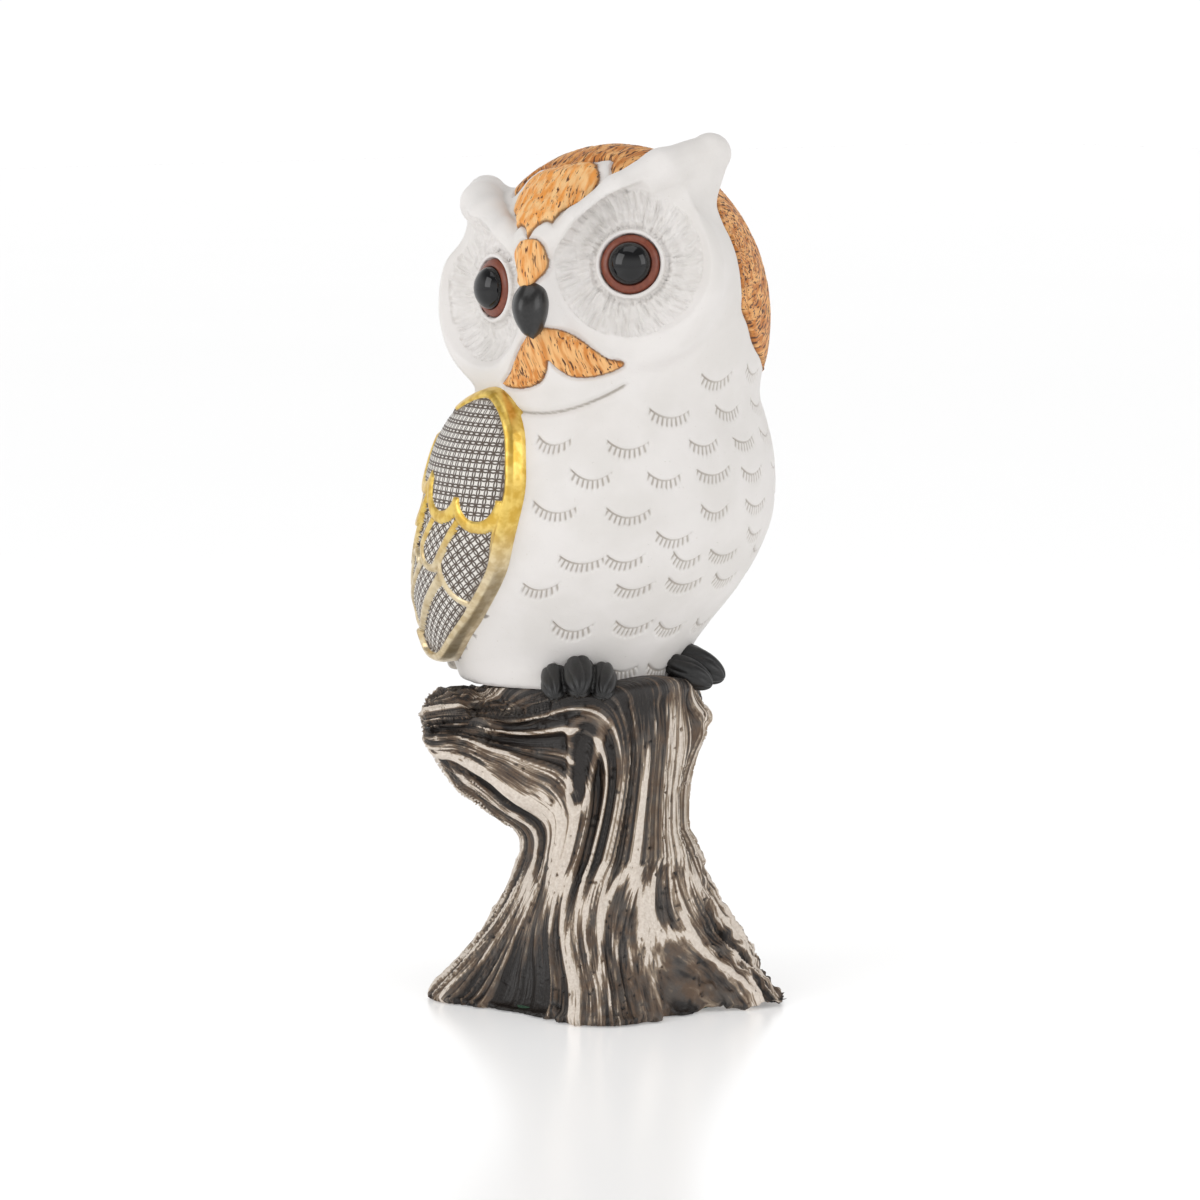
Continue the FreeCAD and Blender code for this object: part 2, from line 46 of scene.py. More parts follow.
bl_info = {
    "name": "Resin owl figurine",
    "version": (1, 0, 0),
    "blender": (4, 5, 0),
    "location": "View3D > Sidebar > Owl",
    "description": "Sculpts and paints a resin owl on a tree stump round its CAD frame",
    "category": "Object",
}

MM = 0.001
SEAT_Z = 93.0  # top of the stump
NECK_Z = 178.0  # joint between body and head
BODY_HEIGHT = NECK_Z - SEAT_Z


# ---- numbers and fields -------------------------------------------------------------------------


def smooth_curve(at, xs, ys):
    """Value of a smooth curve through a few stations."""
    xs, ys = np.asarray(xs, float), np.asarray(ys, float)
    slope = np.gradient(ys, xs)
    i = np.clip(np.searchsorted(xs, at) - 1, 0, len(xs) - 2)
    span = xs[i + 1] - xs[i]
    t = np.clip((at - xs[i]) / span, 0, 1)
    ends = (1 + 2 * t) * (1 - t) ** 2 * ys[i] + t * t * (3 - 2 * t) * ys[i + 1]
    return ends + span * (t * (1 - t) ** 2 * slope[i] - t * t * (1 - t) * slope[i + 1])


def fade(value, start, end):
    """0 before start, 1 after end, smooth between them."""
    t = np.clip((value - start) / (end - start), 0, 1)
    return t * t * (3 - 2 * t)


def bump_at(value, width):
    """1 where the value is 0, falling to 0 on both sides."""
    return np.exp(-((value / width) ** 2))


def columns(*parts):
    """Rows of coordinates from one array, or one number, for each column."""
    return np.column_stack(np.broadcast_arrays(*parts))


def compass(x, y):
    """Heading of each point about the vertical axis, in degrees."""
    return np.degrees(np.arctan2(y, x))


def degrees_from(around, toward):
    """How far each heading is from another, from -180 to 180."""
    return (around - toward + 180) % 360 - 180


def grain(points, seed=0):
    """Smooth noise from 0 to 1, the same on each run."""
    cell = np.floor(points)
    part = points - cell
    part = part * part * part * (part * (part * 6 - 15) + 10)
    cell = cell.astype(np.int64)
    total = np.zeros(len(points))
    for corner in range(8):
        step = np.array([corner & 1, corner >> 1 & 1, corner >> 2 & 1])
        key = (cell + step) @ np.array([73856093, 19349663, 83492791]) + seed * 50331653
        key = (key ^ (key >> 13)) * 1274126177 & 0xFFFFFFFF
        key = (key ^ (key >> 15)) * 2246822519 & 0xFFFFFFFF
        share = np.prod(np.where(step, part, 1 - part), axis=1)
        total += share * ((key >> 12 & 0xFFFF) / 65535.0)
    return total


def crest(points, seed=0, narrow=1.0):
    """Noise drawn as ridge lines, from 0 in the valleys to 1 on the lines."""
    return np.clip(1 - np.abs(2 * grain(points, seed) - 1) * narrow, 0, 1)


def join(a, b, soft):
    """Both solids, with a fillet."""
    h = np.clip(0.5 + 0.5 * (b - a) / soft, 0, 1)
    return b + (a - b) * h - soft * h * (1 - h)


def carve(a, b, soft):
    """The first solid less the second."""
    return -join(-a, b, soft)


def both(a, b, soft):
    """What two solids share."""
    return -join(-a, -b, soft)


def length(*parts):
    return np.sqrt(sum(part * part for part in parts))


def rod(points, start, end, start_r, end_r):
    """Round bar that tapers from start to end."""
    start, end = np.array(start, float), np.array(end, float)
    along = end - start
    share = np.clip(((points - start) @ along) / (along @ along), 0, 1)
    off = np.linalg.norm(points - start - share[:, None] * along, axis=1)
    return off - (start_r + (end_r - start_r) * share)


def outline_distance(a, b, corners, closed=True):
    """Signed distance to a flat outline, negative inside; unsigned when the line is open."""
    corners = np.array(corners, float)
    last = len(corners) if closed else len(corners) - 1
    nearest = np.full(len(a), 1e9)
    inside = np.zeros(len(a), bool)
    for i in range(last):
        p, q = corners[i], corners[(i + 1) % len(corners)]
        edge = q - p
        share = np.clip(((a - p[0]) * edge[0] + (b - p[1]) * edge[1]) / (edge @ edge), 0, 1)
        off = np.hypot(a - p[0] - share * edge[0], b - p[1] - share * edge[1])
        nearest = np.minimum(nearest, off)
        crosses = (p[1] > b) != (q[1] > b)
        rise = q[1] - p[1] if q[1] != p[1] else 1.0
        inside ^= crosses & (a < p[0] + edge[0] * (b - p[1]) / rise)
    return np.where(inside, -nearest, nearest) if closed else nearest


def rounded_outline(corners, steps=5):
    """A closed outline with its corners rounded by a smooth curve through them."""
    corners = np.array(corners, float)
    count = len(corners)
    rows = []
    for i in range(count):
        a, b, c, d = (corners[(i + k) % count] for k in (-1, 0, 1, 2))
        for t in np.arange(steps) / steps:
            bend = 2 * a - 5 * b + 4 * c - d + t * (3 * (b - c) + d - a)
            rows.append(b + 0.5 * t * (c - a + t * bend))
    return np.array(rows)


def mirrored_outline(half):
    """A rounded outline from its right half, which starts and ends on the middle line."""
    return rounded_outline(half + [(-a, b) for a, b in half[-2:0:-1]])


# ---- meshes -------------------------------------------------------------------------------------


def read_points(mesh):
    flat = np.empty(len(mesh.vertices) * 3)
    mesh.vertices.foreach_get("co", flat)
    return flat.reshape(-1, 3)


def write_points(mesh, points):
    mesh.vertices.foreach_set("co", np.ascontiguousarray(points, float).ravel())
    mesh.update()


def read_normals(mesh):
    flat = np.empty(len(mesh.vertices) * 3, np.float32)
    mesh.vertex_normals.foreach_get("vector", flat)
    return flat.reshape(-1, 3).astype(float)


def keep(mesh, name, values):
    """Stores a number or a vector on each point, for the paint to read."""
    values = np.asarray(values, np.float32)
    kind, field = ("FLOAT", "value") if values.ndim == 1 else ("FLOAT_VECTOR", "vector")
    layer = mesh.attributes.new(name, kind, "POINT")
    layer.data.foreach_set(field, np.ascontiguousarray(values).ravel())


def to_mesh(shape, name):
    mesh = bpy.data.meshes.new(name)
    shape.to_mesh(mesh)
    shape.free()
    return mesh


def even_skin(mesh, size):
    """Closed skin of even squares round a rough shape."""
    rough = bpy.data.objects.new("rough", mesh)
    bpy.context.scene.collection.objects.link(rough)
    remesh = rough.modifiers.new("even", "REMESH")
    remesh.mode = "VOXEL"
    remesh.voxel_size = size
    graph = bpy.context.evaluated_depsgraph_get()
    skin = bpy.data.meshes.new_from_object(rough.evaluated_get(graph))
    bpy.data.objects.remove(rough)
    bpy.data.meshes.remove(mesh)
    return skin


def value_and_slope(points, form, reach=0.04):
    """A form's value at each point and the way it rises there."""
    corners = np.array([(1, -1, -1), (-1, -1, 1), (-1, 1, -1), (1, 1, 1)], float)
    values = [form(points + corner * reach) for corner in corners]
    slope = sum(v[:, None] * corner for v, corner in zip(values, corners)) / (4 * reach)
    return sum(values) / 4, slope


def settle(points, form, rounds, longest):
    """Moves points along the slope of a form until they lie on its surface."""
    for _ in range(rounds):
        value, slope = value_and_slope(points, form)
        steep = np.maximum((slope * slope).sum(1), 0.05)
        step = slope * (value / steep)[:, None]
        size = np.linalg.norm(step, axis=1, keepdims=True)
        points = points - step * np.minimum(1, longest / np.maximum(size, 1e-9))
    return points


def sculpted(rough, form, coarse, fine):
    """Skin of a form, started from a rough shape that is near it."""
    skin = even_skin(to_mesh(rough, "rough"), coarse)
    write_points(skin, settle(read_points(skin), form, 10, 2.0))
    skin = even_skin(skin, fine)
    write_points(skin, settle(read_points(skin), form, 4, fine))
    return skin


def refined(mesh, chosen, form):
    """Divides the faces near the chosen points and settles the new points on the form."""
    shape = bmesh.new()
    shape.from_mesh(mesh)
    mask = chosen(read_points(mesh))
    faces = [f for f in shape.faces if any(mask[v.index] for v in f.verts)]
    edges = {e for f in faces for e in f.edges}
    bmesh.ops.subdivide_edges(shape, edges=list(edges), cuts=1, use_grid_fill=True)
    shape.to_mesh(mesh)
    shape.free()
    write_points(mesh, settle(read_points(mesh), form, 2, 0.5))
    return mesh


def ball(shape, centre, radii):
    """Adds a ball or an egg to a rough shape."""
    place = Matrix.Translation(centre) @ Matrix.Diagonal((*radii, 1))
    bmesh.ops.create_icosphere(shape, subdivisions=4, radius=1.0, matrix=place)


def finish_piece(name, mesh, material, nodes):
    """Turns a mesh in millimetres into a finished piece that stands for its CAD nodes."""
    mesh.transform(Matrix.Scale(MM, 4))
    mesh.name = name
    mesh.materials.clear()
    mesh.materials.append(material)
    mesh.shade_smooth()
    piece = bpy.data.objects.new(name, mesh)
    bpy.context.scene.collection.objects.link(piece)
    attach(piece, "root")
    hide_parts(*nodes)
    return piece


# ---- paint --------------------------------------------------------------------------------------


def linear(hex_colour):
    """Linear colour of an sRGB hex value."""
    parts = [int(hex_colour[i : i + 2], 16) / 255 for i in (1, 3, 5)]
    return [c / 12.92 if c <= 0.04045 else ((c + 0.055) / 1.055) ** 2.4 for c in parts] + [1.0]


def add(tree, kind, inputs=None, **settings):
    """Adds a node with its settings; each input is a value or the socket that feeds it."""
    made = tree.nodes.new(kind)
    for name, value in settings.items():
        setattr(made, name, value)
    for name, value in (inputs or {}).items():
        if isinstance(value, bpy.types.NodeSocket):
            tree.links.new(value, made.inputs[name])
        else:
            made.inputs[name].default_value = value
    return made


FACTOR, MIX_A, MIX_B, MIXED = 0, 6, 7, 2  # sockets of a colour mix


def new_material(name):
    material = bpy.data.materials.new(name)
    material.use_nodes = True
    tree = material.node_tree
    tree.nodes.clear()
    shader = tree.nodes.new("ShaderNodeBsdfPrincipled")
    output = tree.nodes.new("ShaderNodeOutputMaterial")
    tree.links.new(shader.outputs["BSDF"], output.inputs["Surface"])
    return material, tree, shader


def mix(tree, factor, low, high, blend="MIX"):
    settings = {"data_type": "RGBA", "blend_type": blend}
    inputs = {FACTOR: factor, MIX_A: low, MIX_B: high}
    return add(tree, "ShaderNodeMix", inputs, **settings).outputs[MIXED]


def ranged(tree, value, low, high, out_low=0.0, out_high=1.0):
    """A value's share of the way from low to high, with soft ends, on another scale."""
    inputs = {"Value": value, "From Min": low, "From Max": high}
    inputs.update({"To Min": out_low, "To Max": out_high})
    return add(tree, "ShaderNodeMapRange", inputs, interpolation_type="SMOOTHSTEP").outputs[0]


def speckle(tree, where, scale, detail=3.0):
    """Noise on a set of coordinates; scale counts the grains in one unit of them."""
    inputs = {"Vector": where, "Scale": scale, "Detail": detail}
    return add(tree, "ShaderNodeTexNoise", inputs).outputs[0]


def stored(tree, name, field="Fac"):
    return add(tree, "ShaderNodeAttribute", attribute_name=name).outputs[field]


def per_mm(count):
    """Grains per millimetre as a scale on Object coordinates, which are in metres."""
    return count / MM


def roughen(tree, shader, height, strength, depth):
    inputs = {"Height": height, "Strength": strength, "Distance": depth * MM}
    tree.links.new(add(tree, "ShaderNodeBump", inputs).outputs[0], shader.inputs["Normal"])


def calculate(tree, operation, *values):
    return add(tree, "ShaderNodeMath", dict(enumerate(values)), operation=operation).outputs[0]


def swing(tree, noise, amount):
    """Noise turned to a wander of so much about zero."""
    return calculate(tree, "MULTIPLY", calculate(tree, "SUBTRACT", noise, 0.5), amount)


# ---- stump --------------------------------------------------------------------------------------

# heading of each root, how steeply it falls away and its share of the full reach
ROOTS = ((150, 1.9, 0.8), (230, 1.9, 1.0), (302, 0.8, 1.0), (12, 1.6, 0.9), (78, 1.8, 0.9))
ROOT_REACH = 16
TRUNK_NECK_Z, TRUNK_NECK_R = 50.0, 24.5  # narrowest place of the trunk
BASE_FLARE, TOP_FLARE = 17.5, 6.5  # how much wider the trunk is at its foot and its top
TRUNK_LEAN = 6  # how far the top of the trunk sits back
BRANCH_HEADING, BRANCH_REACH = 140.0, 55.0
KNOT_HEADING, KNOT_REACH = -44.0, 31.0
HOLLOW_HEADING, HOLLOW_OUT = 215.0, 28  # old knot hole in the trunk
BEND_OUT, BEND_Z = 52, 46  # middle of the bend from the trunk's strands to the branch's
STRAND_R = 27  # strands are spread round a trunk of this radius
BARK_DEPTH = 5.4
FOOT_OUT = 22.5  # distance of each foot from the middle


def heading(degrees):
    a = math.radians(degrees)
    return np.array([math.cos(a), math.sin(a), 0.0])


def across_from(way):
    """Level way at a right angle to another."""
    return np.array([-way[1], way[0], 0])


def trunk_radius(points):
    """Radius of the trunk with its roots at each point, and the point's distance from the axis."""
    x, y, z = points.T
    low = np.clip((z - 0.3) / (TRUNK_NECK_Z - 0.3), 0, 1)
    high = np.clip((z - TRUNK_NECK_Z) / (SEAT_Z - TRUNK_NECK_Z), 0, 1)
    y = y - TRUNK_LEAN * high
    around = compass(x, y)
    reach = 0
    for toward, fall, share in ROOTS:
        reach = reach + share * bump_at(degrees_from(around, toward), 23.0) * (1 - low) ** fall
    radius = TRUNK_NECK_R + BASE_FLARE * (1 - low) ** 1.8 + TOP_FLARE * high * high * (3 - 2 * high)
    return radius + ROOT_REACH * np.minimum(reach, 1), np.hypot(x, y)


def arm_form(points, toward, reach, end_z, radius, widen, droop):
    """Broken branch that leaves the trunk upwards and bends to level."""
    out = heading(toward)
    z = points[:, 2]
    flat = columns(points @ out, points @ across_from(out) / widen, z)
    # share of the reach, share of the droop and share of the radius
    stations = ((0.2, 0.5, 1.35), (0.4, 0.4, 1.5), (0.6, 0.17, 1.32), (0.8, 0.02, 1.06))
    stations += ((0.95, 0.0, 0.97),)
    spots = [((a * reach, 0, end_z - drop * droop), size * radius) for a, drop, size in stations]
    form = rod(flat, spots[0][0], spots[1][0], spots[0][1], spots[1][1])
    for (a, ra), (b, rb) in zip(spots[1:], spots[2:]):
        form = join(form, rod(flat, a, b, ra, rb), 2.0)
    cut_back = 0.75 * np.maximum(z - 84, 0) + 0.5 * np.maximum(82 - z, 0)
    return both(form, flat[:, 0] - reach + cut_back, 3.0)


def beside_owl(points):
    """Distance outside the outline of the owl's seat, seen from above."""
    wide, deep, middle = body_section(np.array([SEAT_Z]))
    return (np.hypot(points[:, 0] / wide, (points[:, 1] - middle) / deep) - 1) * wide


def bark_lip(points):
    """Height by which the bark stands up round the owl's seat, away from the feet."""
    outside = beside_owl(points)
    feet = np.hypot(np.abs(points[:, 0]) - FOOT_OUT, points[:, 1] + 16)
    ridge = fade(outside, -2.0, 0.8) * (1 - 0.55 * fade(outside, 5, 14))
    return 3.4 * ridge * (1 - 0.9 * bump_at(feet, 12.5))


def stump_form(points):
    z = points[:, 2]
    radius, out = trunk_radius(points)
    branch = dict(end_z=78.0, radius=12.0, widen=1.2, droop=24.0)
    knot = dict(end_z=79.0, radius=9.0, widen=1.0, droop=18.0)
    form = join(out - radius, arm_form(points, BRANCH_HEADING, BRANCH_REACH, **branch), 7.0)
    form = join(form, arm_form(points, KNOT_HEADING, KNOT_REACH, **knot), 4.0)
    out = heading(HOLLOW_HEADING) * HOLLOW_OUT
    across = across_from(out) / HOLLOW_OUT
    low, high = out - 1.4 * across + (0, 0, 64), out + 0.8 * across + (0, 0, 79)
    form = carve(form, rod(points, low, high, 1.2, 2.5), 1.2)
    collar = both(form - 5.5, np.abs(beside_owl(points) - 2) - 4.5, 1.0)
    form = join(form, both(collar, 84 - z, 1.0), 3.0)
    form = both(form, z - SEAT_Z - bark_lip(points), 2.5)
    return both(form, 0.3 - z, 3.0)


def strand_coordinates(points):
    """Each point's two places round the wood and its place along the strands, which run up the
    trunk with a swirl and bend out along the branch."""
    radius, _ = trunk_radius(points)
    spread = TRUNK_NECK_R / radius
    x, y, z = points.T
    around = compass(x, y)
    lean = 26 * bump_at(degrees_from(around, 212), 55) * (1 - fade(z, 12, 78))
    for toward, _, _ in ROOTS:
        off = degrees_from(around, toward)
        lean += 0.75 * off * bump_at(off, 25) * (1 - fade(z, 3, 42))
    lean = np.radians(lean)
    cos, sin = np.cos(lean), np.sin(lean)
    points = columns(x * cos - y * sin, x * sin + y * cos, z)
    out = heading(BRANCH_HEADING)
    flat = points * np.where(z < TRUNK_NECK_Z, spread, 1.0)[:, None]
    u, v = flat @ out, flat @ across_from(out)
    shy = 0.5 * (20 - u + np.hypot(20 - u, 9))
    rise = z - BEND_Z - 0.8 * shy
    lift = 0.5 * (rise + np.hypot(rise, 5)) - 0.5 * np.hypot(BEND_Z, 5) + BEND_Z / 2
    inward = np.maximum(BEND_OUT - u, 0)
    across = np.hypot(inward, lift)
    turned_by = np.arctan2(lift, np.maximum(inward, 1e-3))
    along = np.minimum(z, 44) + turned_by * 26 + np.maximum(u - BEND_OUT, 0)
    centre = smooth_curve(along, (44, 50, 56, 68, 85), (BEND_OUT, 45, 41, 37, 34))
    centre = BEND_OUT - (BEND_OUT - centre) * fade(u, -15, 35)
    turn = np.arctan2(v, across - centre)
    across, v = STRAND_R * np.cos(turn), STRAND_R * np.sin(turn)
    place = columns(across, v, along)
    sway = 5 * (grain(place / (22, 22, 34), 3) - 0.5)
    twist = 4 * (grain(place / (26, 26, 30), 4) - 0.5)
    return across + sway * 1.6, v + twist * 1.6, along


def shape_stump():
    rough = bmesh.new()
    for z, r in ((10, 44), (25, 32), (45, 26), (65, 27), (80, 30)):
        ball(rough, (0, 2, z), (r, r, 16))
    for toward, _, _ in ROOTS:
        tip = heading(toward) * 40
        ball(rough, (tip[0], tip[1], 8), (15, 15, 8))
    for toward, reach, size in ((BRANCH_HEADING, 40, 14), (KNOT_HEADING, 24, 9)):
        tip = heading(toward) * reach
        ball(rough, (tip[0], tip[1], 76), (size, size, size))
    mesh = sculpted(rough, stump_form, 2.0, 0.56)
    points = read_points(mesh)
    _, normals = value_and_slope(points, stump_form, 0.5)
    normals /= np.maximum(np.linalg.norm(normals, axis=1, keepdims=True), 1e-6)
    x, y, z = points.T
    a, b, along = strand_coordinates(points)
    radius, _ = trunk_radius(points)
    spread = np.where(z < TRUNK_NECK_Z, radius / TRUNK_NECK_R, 1.0)

    def strands(width, run):
        return columns(a / width, b / width, along / run)

    wave = grain(strands(5.0, 75), 11)
    broad, middle = strands(3.6, 70), strands(1.9, 46)
    fine = crest(strands(0.85, 30), 13, 2.0)
    swell = 0.35 * wave + 0.5 * crest(broad, 15, 1.4) + 0.22 * crest(middle, 12, 1.8)
    swell = 0.5 + 0.85 * (swell - 0.6)
    broad, middle = crest(broad, 15, 3.0), crest(middle, 12, 2.6)
    relief = 0.16 * wave + 0.5 * broad + 0.3 * middle + 0.2 * fine
    relief = 0.5 + 0.17 * (relief - relief.mean()) / relief.std()
    sides = fade(z, 0.6, 5.0) * (1 - fade(z, 88, 92.5))
    height = BARK_DEPTH * (swell - 0.56) * np.minimum(spread, 1.8) ** 0.5 * sides
    # old knot hole with a raised lip
    out = heading(HOLLOW_HEADING)
    across = points @ across_from(out)
    facing = points @ out > 0
    drop = np.maximum(np.abs(z - 72) - 8.5, 0)
    across = (across - 0.14 * (z - 74)) * (1 + 0.04 * np.maximum(80 - z, 0))
    hole = np.hypot(across, drop * 0.8)
    lip = np.where(facing, bump_at(hole - 4.6, 1.4), 0)
    height = np.where(facing, height * fade(hole, 3.0, 6.5), height) + 2.0 * lip
    # broken ends of the branch and the knot
    pits = grain(points / 2.6, 21)
    for toward, reach in ((BRANCH_HEADING, BRANCH_REACH), (KNOT_HEADING, KNOT_REACH)):
        end = fade(points @ heading(toward), reach - 2.5, reach - 0.3)
        height += end * (2.4 * pits - 2.2)
    # worm pits
    pocks = fade(grain(points / 1.3, 22), 0.84, 0.95)
    height -= 0.7 * pocks * sides
    deep = np.where(facing, 1 - fade(hole, 2.0, 3.4), 0)
    # gullies between the roots
    gully = 0
    for toward, width in ((264, 9), (190, 13), (337, 10), (45, 13), (114, 14)):
        off = degrees_from(compass(x, y), toward)
        gully = np.maximum(gully, bump_at(off, width) * (1 - fade(z, 6, 26)))
    write_points(mesh, points + normals * (height - 3.0 * gully * fade(z, 0.4, 3.0))[:, None])
    # painted shade: the relief is darker at the top of the stump, under the overhang of the owl's body,
    # and a little paler low down
    height_tone = 0.05 * (1 - fade(z, 10, 60)) - 0.1 * fade(z, 82, 93)
    # painted shade: the relief is also darker in the gullies between the roots
    keep(mesh, "relief", relief + height_tone + 0.3 * lip - 0.4 * deep - 0.35 * gully - 0.2 * pocks)
    keep(mesh, "strand", columns(a, b, along / 16))
    return mesh


# ---- owl: body and head -------------------------------------------------------------------------

BODY_STATIONS = (0, 0.1, 0.2, 0.31, 0.43, 0.56, 0.7, 0.82, 0.92, 1.0, 1.14)
BODY_SIZE = (0.655, 0.715, 0.805, 0.9, 0.965, 1.0, 0.99, 0.955, 0.89, 0.828, 0.78)
BODY_LEAN = (0, 0, 0.1, 0.27, 0.48, 0.66, 0.78, 0.84, 0.92, 1.0, 1.05)
HEAD_CENTRE = (0, -5, 217)
HEAD_PLACE = Matrix.Translation(HEAD_CENTRE) @ Matrix.Rotation(math.radians(-72), 4, "Z")
HEAD_PLACE = HEAD_PLACE @ Matrix.Rotation(math.radians(-10), 4, "Y")
EYE = np.array([23.4, -31.0, -3.4])
LOOK = np.array([0.4203, -0.9013, 0.1045])  # way each eye looks
CUP_LOOK = np.array([0.257, -0.9596, 0.1149])  # way the cup round it faces
IRIS_R, PUPIL_R = 8.5, 6.2
# raised band from the forehead to the tip of each ear tuft
BAND_LINE = ((2.5, -42.5, 3.5), (12.2, -37.6, 10.4), (22.3, -29.5, 16.4), (31, -18.6, 21.8))
BAND_LINE += ((38.7, -4, 25.5),)
BAND_THICK = (3.4, 4.5, 5.8, 6.2, 5.0)
# rough balls of one side of the face
FACE_BALLS = (((25, -18, -6), 24), ((27, -14, 8), 15), ((33, -9, 17), 9), ((38, -5, 25), 5))
FACE_BALLS += (((12, -36, 9), 6),)


def body_section(z):
    """Half width, half depth and centre of the body at a height."""
    share = (z - SEAT_Z) / BODY_HEIGHT
    size = smooth_curve(share, BODY_STATIONS, BODY_SIZE)
    return 51.5 * size, 47.5 * size, 16 - 21 * smooth_curve(share, BODY_STATIONS, BODY_LEAN)


def body_form(points):
    x, y, z = points.T
    wide, deep, middle = body_section(z)
    form = (np.hypot(x / wide, (y - middle) / deep) - 1) * (wide + deep) / 2
    return both(both(form, SEAT_Z - z, 1.5), z - 190, 8.0)


def head_local(points):
    """Points in the head's own frame, which faces -Y."""
    return (points - np.array(HEAD_CENTRE)) @ np.array(HEAD_PLACE.to_3x3())


def on_side(side, spot):
    """A spot of the face's left half, on the left or the right."""
    return Vector((side * spot[0], spot[1], spot[2]))


def folded_over(local):
    """The face's right half laid on its left half."""
    folded = local.copy()
    folded[:, 0] = np.abs(folded[:, 0])
    return folded


def eye_coordinates(local):
    """Distance from the eye's axis and along it, on either side of the face."""
    offset = folded_over(local) - EYE
    along = offset @ LOOK
    return np.linalg.norm(offset - along[:, None] * LOOK, axis=1), along


def cup_form(folded):
    offset = folded - (EYE + 2 * LOOK - (0, 0, 3.5))
    along = offset @ CUP_LOOK
    out = np.linalg.norm(offset - along[:, None] * CUP_LOOK, axis=1)
    a, b = out - 22.6, np.abs(along + 11.6 + 0.28 * np.maximum(out - 19, 0)) - 8.6
    return length(np.maximum(a, 0), np.maximum(b, 0)) + np.minimum(np.maximum(a, b), 0) - 3.6


def band_form(folded):
    bars = [
        rod(folded, BAND_LINE[i], BAND_LINE[i + 1], BAND_THICK[i], BAND_THICK[i + 1])
        for i in range(len(BAND_LINE) - 1)
    ]
    form = bars[0]
    for bar in bars[1:]:
        form = join(form, bar, 2.0)
    return form


def ear_form(folded):
    return rod(folded, (25, -15, 8), (38.7, -4.0, 25.0), 14.6, 6.0)


def ridge_form(local):
    """Ridge down the middle of the face, from the forehead to the chin."""
    rows = (-36, -27, -18, -9, -1, 9, 17, 25)
    back = smooth_curve(local[:, 2], rows, (10, 6, 2, 0, 1, 5, 12.5, 23))
    half = smooth_curve(local[:, 2], rows, (13, 10.2, 6.6, 5.2, 5.5, 9.5, 12.6, 13.5))
    form = (length(local[:, 0] / half, (local[:, 1] + 38 - back) / 12) - 1) * np.minimum(half, 9)
    return both(form, np.abs(local[:, 2] + 5) - 31, 3.0)


def owl_form(points):
    x, y, z = points.T
    body = body_form(points)
    dome = (length(x / 44, (y + 5) / 44, (z - 200) / 50) - 1) * 45
    form = join(body, dome, 4.0)
    near = z > 165
    local = head_local(points[near])
    folded = local.copy()
    folded[:, 0] = np.sqrt(folded[:, 0] ** 2 + 0.05)  # no crease down the middle
    out, along = eye_coordinates(local)
    face = join(form[near], cup_form(folded), 3.0)
    face = join(face, ear_form(folded), 5.0)
    ridge = ridge_form(local)
    face = join(face, ridge, 3.0)
    # dish round the eye, and the web that runs up into the ear
    dish = length(out, along - 31.5) - 35.8
    web = rod(folded, tuple(EYE + 22 * LOOK + (2, 0, 4)), (44.5, -22, 23), 19.0, 9.0)
    face = carve(face, join(dish, web, 4.0), 0.5)
    band = band_form(folded)
    brow = smooth_curve(folded[:, 0], (0, 6, 12, 19, 26, 36), (-6, 1.5, 9, 14.8, 18, 21.5))
    below = both(folded[:, 2] - brow, length(out, along - 29.5) - 35.5, 0.5)
    face = join(face, carve(band, below, 0.5), 0.5)
    face = join(face, both(ridge, np.abs(folded[:, 0]) - 7.0, 1.0), 2.2)
    # rolled lids round the eye
    ring = length(out - 12.8, along + 2.6) - 2.3
    lid = length(out - 9.3, along + 0.2) - 0.95
    face = join(face, join(ring, lid, 1.2), 1.2)
    # plump moustache under the beak
    tuft = rod(folded, (4, -40.5, -23), (15, -37, -28.5), 5.2, 3.2)
    face = join(face, tuft, 1.0)
    seat = both(out - IRIS_R - 0.2, -4.2 - along, 0.3)
    face = carve(face, seat, 0.4)
    form[near] = face
    return form


# orange patches: sideways and up on the face; sideways and back on the crown
FOREHEAD = [(0, 8.2), (1.6, 11.0), (4.6, 12.4), (8.0, 11.0), (12.0, 16), (13.2, 22.5)]
FOREHEAD = mirrored_outline(FOREHEAD + [(9, 27.6), (0, 29)])
BRIDGE = mirrored_outline([(0, 8.2), (3.6, 7.2), (5.3, 3.2), (4.3, -2.5), (0, -6.8)])
TUFT = [(0, -17.5), (6, -19), (11, -23), (16, -28.5), (19.5, -31.5), (13, -33.5)]
TUFT = mirrored_outline(TUFT + [(6, -33), (2, -30), (0, -27.2)])
CROWN = [(0, -19), (7, -17.2), (12.3, -14.5), (14.2, -18.5), (17.5, -22.5), (21, -14)]
CROWN = rounded_outline(CROWN + [(24, -3), (25, 6), (30, 12), (44, 16), (30, 60), (0, 70)])
# front edge of the orange down the back of the head
NAPE_Z = (-42, -38, -34, -24, -15, -5, 5, 12, 20, 40)
NAPE_Y = (60, 24, 11, 0, -5, -6, -3, 3, 9, 12)


def orange_distance(local):
    """Signed distance to the edge of the orange feathers, and how dark they are."""
    x, y, z = local.T
    front = y < -12
    folded = folded_over(local)
    forehead = np.maximum(outline_distance(x, z, FOREHEAD), 0.9 - band_form(folded))
    forehead = np.where(front, forehead, 9)
    bridge = np.where(front, outline_distance(x, z, BRIDGE), 9)
    tuft = np.where(front, outline_distance(x, z, TUFT), 9)
    crown = np.where(z > 18, outline_distance(np.abs(x), y, CROWN), 9)
    nape = np.where(z > 26, 9, smooth_curve(z, NAPE_Z, NAPE_Y) - y)
    cape = np.maximum(np.minimum(crown, nape), 1.5 - ear_form(folded))
    patch = np.minimum(np.minimum(forehead, bridge), tuft)
    dark = np.where(tuft < 2, 0.6, np.where(bridge < 1.5, 0.25, 0.0))
    return np.minimum(patch, cape), np.where(patch < cape, dark, 1.0)


